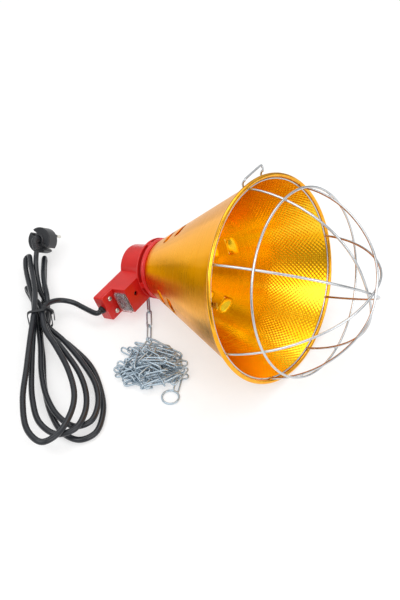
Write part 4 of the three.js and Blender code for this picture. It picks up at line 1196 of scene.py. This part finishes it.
body = prism("plug_body_moulding", plug_outline(PLUG_R, 3.0), -PLUG_THICK, 0.0, 1.1, plug)
bores = [cylinder("cut_pin", plug(0, s * PIN_HALF, -6), PIN_DIR, PIN_R + 0.3, 9) for s in (-1, 1)]
bores.append(cylinder("cut_boot", plug(0, 0, -PLUG_THICK - 4), PIN_DIR, 5.6, 8))
combine(body, bores)
dress(body, M_BLACK, "plug_body", 35)
COLLAR = ((-1.6, 5.2), (-1.6, 6.4), (-1.1, 7.0), (0.5, 7.4), (0.5, 5.2))  # from the plug's rear face
turned(
    "plug_collar", [(x - PLUG_THICK, r) for x, r in COLLAR], M_BLACK, "plug_boot", 48,
    base=PLUG_FACE, axis=PIN_DIR, side=NOTCH_DIR,
)
PIN_TIP = ((-1.4, -0.15), (-0.6, -0.5), (-0.1, -1.1))  # a pin's rounded end, from its tip and its radius
pin_metal = [(8.0, 0), (8.0, PIN_R - 0.15), *((PIN_LONG + x, PIN_R + r) for x, r in PIN_TIP), (PIN_LONG, 0)]
pin_sleeve = [(-5.6, 0), (-5.6, PIN_R), (9.6, PIN_R), (10.0, PIN_R - 0.3), (10.0, 0)]
for i, s in enumerate((-1, 1)):
    where = {"base": plug(0, s * PIN_HALF, 0), "axis": PIN_DIR, "side": NOTCH_DIR, "closed": False}
    node = f"plug_pin_{i + 1}"
    turned(f"plug_pin_metal_{i + 1}", pin_metal, M_SCREW, node, 32, slot="plug_pins", **where)
    turned(f"plug_pin_sleeve_{i + 1}", pin_sleeve, M_BLACK, node, 32, **where)
SLEEVE_R, SLEEVE_TAPER, SLEEVE_GROOVE = 4.4, 0.5, 0.28
rear = PLUG_FACE - PIN_DIR * ((PLUG_THICK - 3.4) * MM)
boot_path = [rear, rear - PIN_DIR * (4.4 * MM), floor(-271.8, 142.9, 35.2), floor(-272.4, 139.2, 34.8)]
boot_path += [floor(-271.6, 136, 31.8), floor(-270.5, 133.2, 28.4)]
boot_line = spline(boot_path, 14)
boot_r = []
for k in range(len(boot_line)):
    t = k / (len(boot_line) - 1)
    groove = SLEEVE_GROOVE if 0.3 < t < 0.95 and math.sin(t * 70) > 0 else 0.0
    boot_r.append(SLEEVE_R - SLEEVE_TAPER * t - groove)
wire("plug_boot_sleeve", boot_line, boot_r, M_BLACK, "plug_boot", sides=24)

# ---- hanging chain
EYE = {"u": 23.0, "x": -175.0, "r": 4.0, "w": 23.4, "wire": 1.2, "turn": math.radians(39)}
LINK = {"pitch": 22.0, "wire": 1.0, "half": 2.8}


def eye_point(s, w):
    return arm(EYE["u"] - s * math.sin(EYE["turn"]), w, EYE["x"] + s * math.cos(EYE["turn"]))


eye_line = []
EYE_DROP = EYE["w"] - ARM_BOTTOM - GAP
for k in range(9):
    eye_line.append(eye_point(-EYE["r"], ARM_BOTTOM + GAP + EYE_DROP * k / 9))
for k in range(25):
    t = math.pi * k / 24
    eye_line.append(eye_point(-EYE["r"] * math.cos(t), EYE["w"] + EYE["r"] * math.sin(t)))
for k in range(9):
    eye_line.append(eye_point(EYE["r"], EYE["w"] - EYE_DROP * (k + 1) / 9))
wire("chain_eye_wire", eye_line, EYE["wire"], M_CHAIN, "chain_eye")


def link_line(start, end, roll, steps=10):
    """The centre line of a link's wire; start and end are the middles of its two ends."""
    half = LINK["half"]
    d = (end - start).normalized()
    up = Vector((0, 0, 1))
    side = up.cross(d)
    side = Vector((1, 0, 0)) if side.length < 1e-6 else side.normalized()
    side = Matrix.Rotation(roll, 3, d) @ side
    a, b = start + d * (half * MM), end - d * (half * MM)
    points = []
    for centre, first in ((b, -90), (a, 90)):
        for k in range(steps + 1):
            t = math.radians(first + 180 * k / steps)
            points.append(centre + (d * math.cos(t) + side * math.sin(t)) * (half * MM))
        mids = (b, a) if first < 0 else (a, b)
        far = points[-1]
        step = (mids[1] - mids[0]) / 5
        points += [far + step * k for k in range(1, 5)]
    return points


pivots = [Vector(JOINT[n]["pos_m"]) for n in ("chain_bow", "chain_pivot_2", "chain_pivot_3")]
LAST_TURN = math.radians(-88)
last = pivots[2] + Vector((math.cos(LAST_TURN), math.sin(LAST_TURN), 0)) * (LINK["pitch"] * MM)
chain_points = pivots + [last]
for k, roll in enumerate((112, 28, -50)):
    a, b = chain_points[k], chain_points[k + 1]
    d = (b - a).normalized()
    overlap = LINK["wire"] + (GAP / 2 if k else EYE["wire"] + GAP)
    line = link_line(a - d * (overlap * MM), b + d * ((LINK["wire"] + GAP / 2) * MM), math.radians(roll))
    node = f"chain_link_{k + 1}"
    wire(f"chain_link_wire_{k + 1}", line, LINK["wire"], M_CHAIN, node, node, closed=True)

# The bunched rest of the chain: strands of links folded back and forth over a low mound. Each layer has
# its share of the mound's height, its share of its width, and its number of strands.
HEAP = {"x": -122.0, "y": -33.0, "a": 36.0, "b": 29.0, "h": 17.5}
LAYERS = ((0.02, 1.0, 15), (0.25, 0.92, 15), (0.5, 0.76, 12), (0.75, 0.56, 9), (1.0, 0.36, 6))
LEANS, LEAN_DRAW = (18, 24, -28, -36, 60, 8), 14  # the strands' directions, in degrees
WANDER = 0.32  # how far a link turns from its strand
ROLLS = (0.2, 1.4)  # a strand's first link is rolled by one of these; each link adds a quarter turn
HEAP_EDGE, DOME_EDGE, DOME_POWER = 1.06, 1.25, 0.55
LINK_LAP = 1.1  # how far a link reaches past its pitch at each end
draw = random.Random(7)
heap_v, heap_f = [], []


FLOOR_GAP = 0.25


def add_link(a, b, roll):
    """One link on the heap, lifted until it rests on the floor."""
    v, f = tube(link_line(a, b, roll, 6), LINK["wire"] * MM, 8, True)
    low = min(p[2] for p in v)
    lift = max(0.0, (FLOOR_Z + FLOOR_GAP) * MM - low)
    base = len(heap_v)
    heap_v.extend((p[0], p[1], p[2] + lift) for p in v)
    heap_f.extend(tuple(base + i for i in face) for face in f)


def how_far_out(point):
    """0 in the middle of the heap, 1 on its outline, growing as the square of the distance."""
    across = (point.x / MM - FLOOR_X - HEAP["x"]) / HEAP["a"]
    along = (point.y / MM - FLOOR_Y - HEAP["y"]) / HEAP["b"]
    return across**2 + along**2


for level, size, count in LAYERS:
    for s in range(count):
        lean = math.radians(draw.choice(LEANS) + draw.uniform(-LEAN_DRAW, LEAN_DRAW))
        across = (s + 0.5) / count * 2 - 1 + draw.uniform(-0.1, 0.1)
        reach = math.sqrt(max(0.05, 1 - across * across)) * size * draw.uniform(0.8, 1.02)
        d = Vector((math.cos(lean), math.sin(lean), 0))
        e = Vector((-d.y, d.x, 0))
        span = (abs(d.x) * HEAP["a"] + abs(d.y) * HEAP["b"]) * reach
        off = (abs(e.x) * HEAP["a"] + abs(e.y) * HEAP["b"]) * across * size * 0.92
        at = -span
        roll = draw.choice(ROLLS)
        point = floor(HEAP["x"], HEAP["y"], 0) + (d * at + e * off) * MM
        while at < span - 8:
            step = LINK["pitch"] - draw.uniform(0, 2)
            wander = lean + draw.uniform(-WANDER, WANDER)
            nxt = point + Vector((math.cos(wander), math.sin(wander), 0)) * (step * MM)
            if how_far_out(nxt) > HEAP_EDGE:
                break
            mid = (point + nxt) / 2
            dome = max(0.0, 1 - how_far_out(mid) / DOME_EDGE) ** DOME_POWER
            high = 1.4 + level * HEAP["h"] * dome + draw.uniform(-0.8, 1.2)
            tilt = draw.uniform(-1.6, 1.6)
            a = Vector((point.x, point.y, (FLOOR_Z + high - tilt) * MM))
            b = Vector((nxt.x, nxt.y, (FLOOR_Z + high + tilt) * MM))
            dd = (b - a).normalized()
            lap = dd * (LINK_LAP * MM)
            add_link(a - lap, b + lap, roll + draw.uniform(-0.5, 0.5))
            roll += math.pi / 2
            point, at = nxt, at + step
heap = mesh_object("chain_heap_links", heap_v, heap_f)
dress(heap, M_CHAIN, "chain_heap")

RING_R, RING_WIRE = 8.6, 1.1
ring_line = []
for k in range(64):
    t = TAU * k / 64
    ring_line.append(floor(RING_X + RING_R * math.cos(t), RING_Y + RING_R * math.sin(t), RING_WIRE + 0.1))
wire("chain_end_ring_wire", ring_line, RING_WIRE, M_CHAIN, "chain_end_ring", closed=True)

# ---- floor, light and camera
FLOOR_SIZE = 12.0


def paper(g):
    fibre = g.cloud(60.0, 3.0)
    return {
        "Base Color": g.mix(g.spread(fibre, 0.3, 0.7), rgb(0.44, 0.44, 0.44), rgb(0.47, 0.47, 0.47)),
        "Roughness": g.spread(fibre, 0.3, 0.7, 0.8, 0.9),
    }


M_PAPER = material("paper", paper, Emission_Color=rgb(1, 1, 1), Emission_Strength=0.55)
CELLS = 12
ROW = CELLS + 1
paper_v, paper_f = [], []
for j in range(ROW):
    for i in range(ROW):
        x, y = (i / CELLS - 0.5) * FLOOR_SIZE, (j / CELLS - 0.5) * FLOOR_SIZE
        paper_v.append((x, y, cad_low.z - 0.0002))
        if i < CELLS and j < CELLS:
            first = j * ROW + i
            paper_f.append((first, first + 1, first + 1 + ROW, first + ROW))
sheet = mesh_object("floor_sheet", paper_v, paper_f)
sheet.data.materials.append(M_PAPER)
sheet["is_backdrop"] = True

world = bpy.data.worlds.new("studio")
scene.world = world
world.use_nodes = True
world.node_tree.nodes.clear()
wg = Graph(world.node_tree)
sky = wg.add("ShaderNodeSeparateXYZ", {0: wg.add("ShaderNodeTexCoord").outputs["Generated"]})
glow = wg.spread(sky.outputs[2], 0.05, 0.55, 0.25, 0.75)
glow = wg.math("MAXIMUM", glow, wg.add("ShaderNodeLightPath").outputs["Is Camera Ray"])
background = wg.add("ShaderNodeBackground", {"Color": rgb(1, 1, 1), "Strength": glow})
world_out = wg.add("ShaderNodeOutputWorld")
world.node_tree.links.new(background.outputs[0], world_out.inputs["Surface"])


def softbox(name, at, target, width, height, watts):
    data = bpy.data.lights.new(name, "AREA")
    data.shape = "RECTANGLE"
    data.size, data.size_y, data.energy = width, height, watts
    ob = bpy.data.objects.new(name, data)
    scene.collection.objects.link(ob)
    ob.location = at
    ob.rotation_mode = "QUATERNION"
    ob.rotation_quaternion = (Vector(target) - Vector(at)).to_track_quat("-Z", "Y")


softbox("key", (-0.7, -0.9, 1.4), (0, 0, 0.08), 1.4, 1.0, 9.0)
softbox("fill", (1.1, -0.9, 0.9), (0.05, 0, 0.1), 1.0, 1.0, 7.0)
softbox("top", (0.0, 0.6, 1.7), (0, 0, 0.1), 1.8, 1.0, 8.0)

CAMERA_FROM_MOUTH = Vector((-75.1, -537.4, 473.3))
CAMERA_DOWN, LENS = 43.0, 43.2
camera = bpy.data.objects.new("camera", bpy.data.cameras.new("camera"))
scene.collection.objects.link(camera)
camera.data.lens = LENS
camera.data.sensor_width = 36.0
camera.data.clip_start = 0.05
camera.location = MOUTH + CAMERA_FROM_MOUTH * MM
camera.rotation_euler = (math.radians(90 - CAMERA_DOWN), 0, 0)
scene.camera = camera
scene.view_settings.view_transform = "Standard"

low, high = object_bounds()
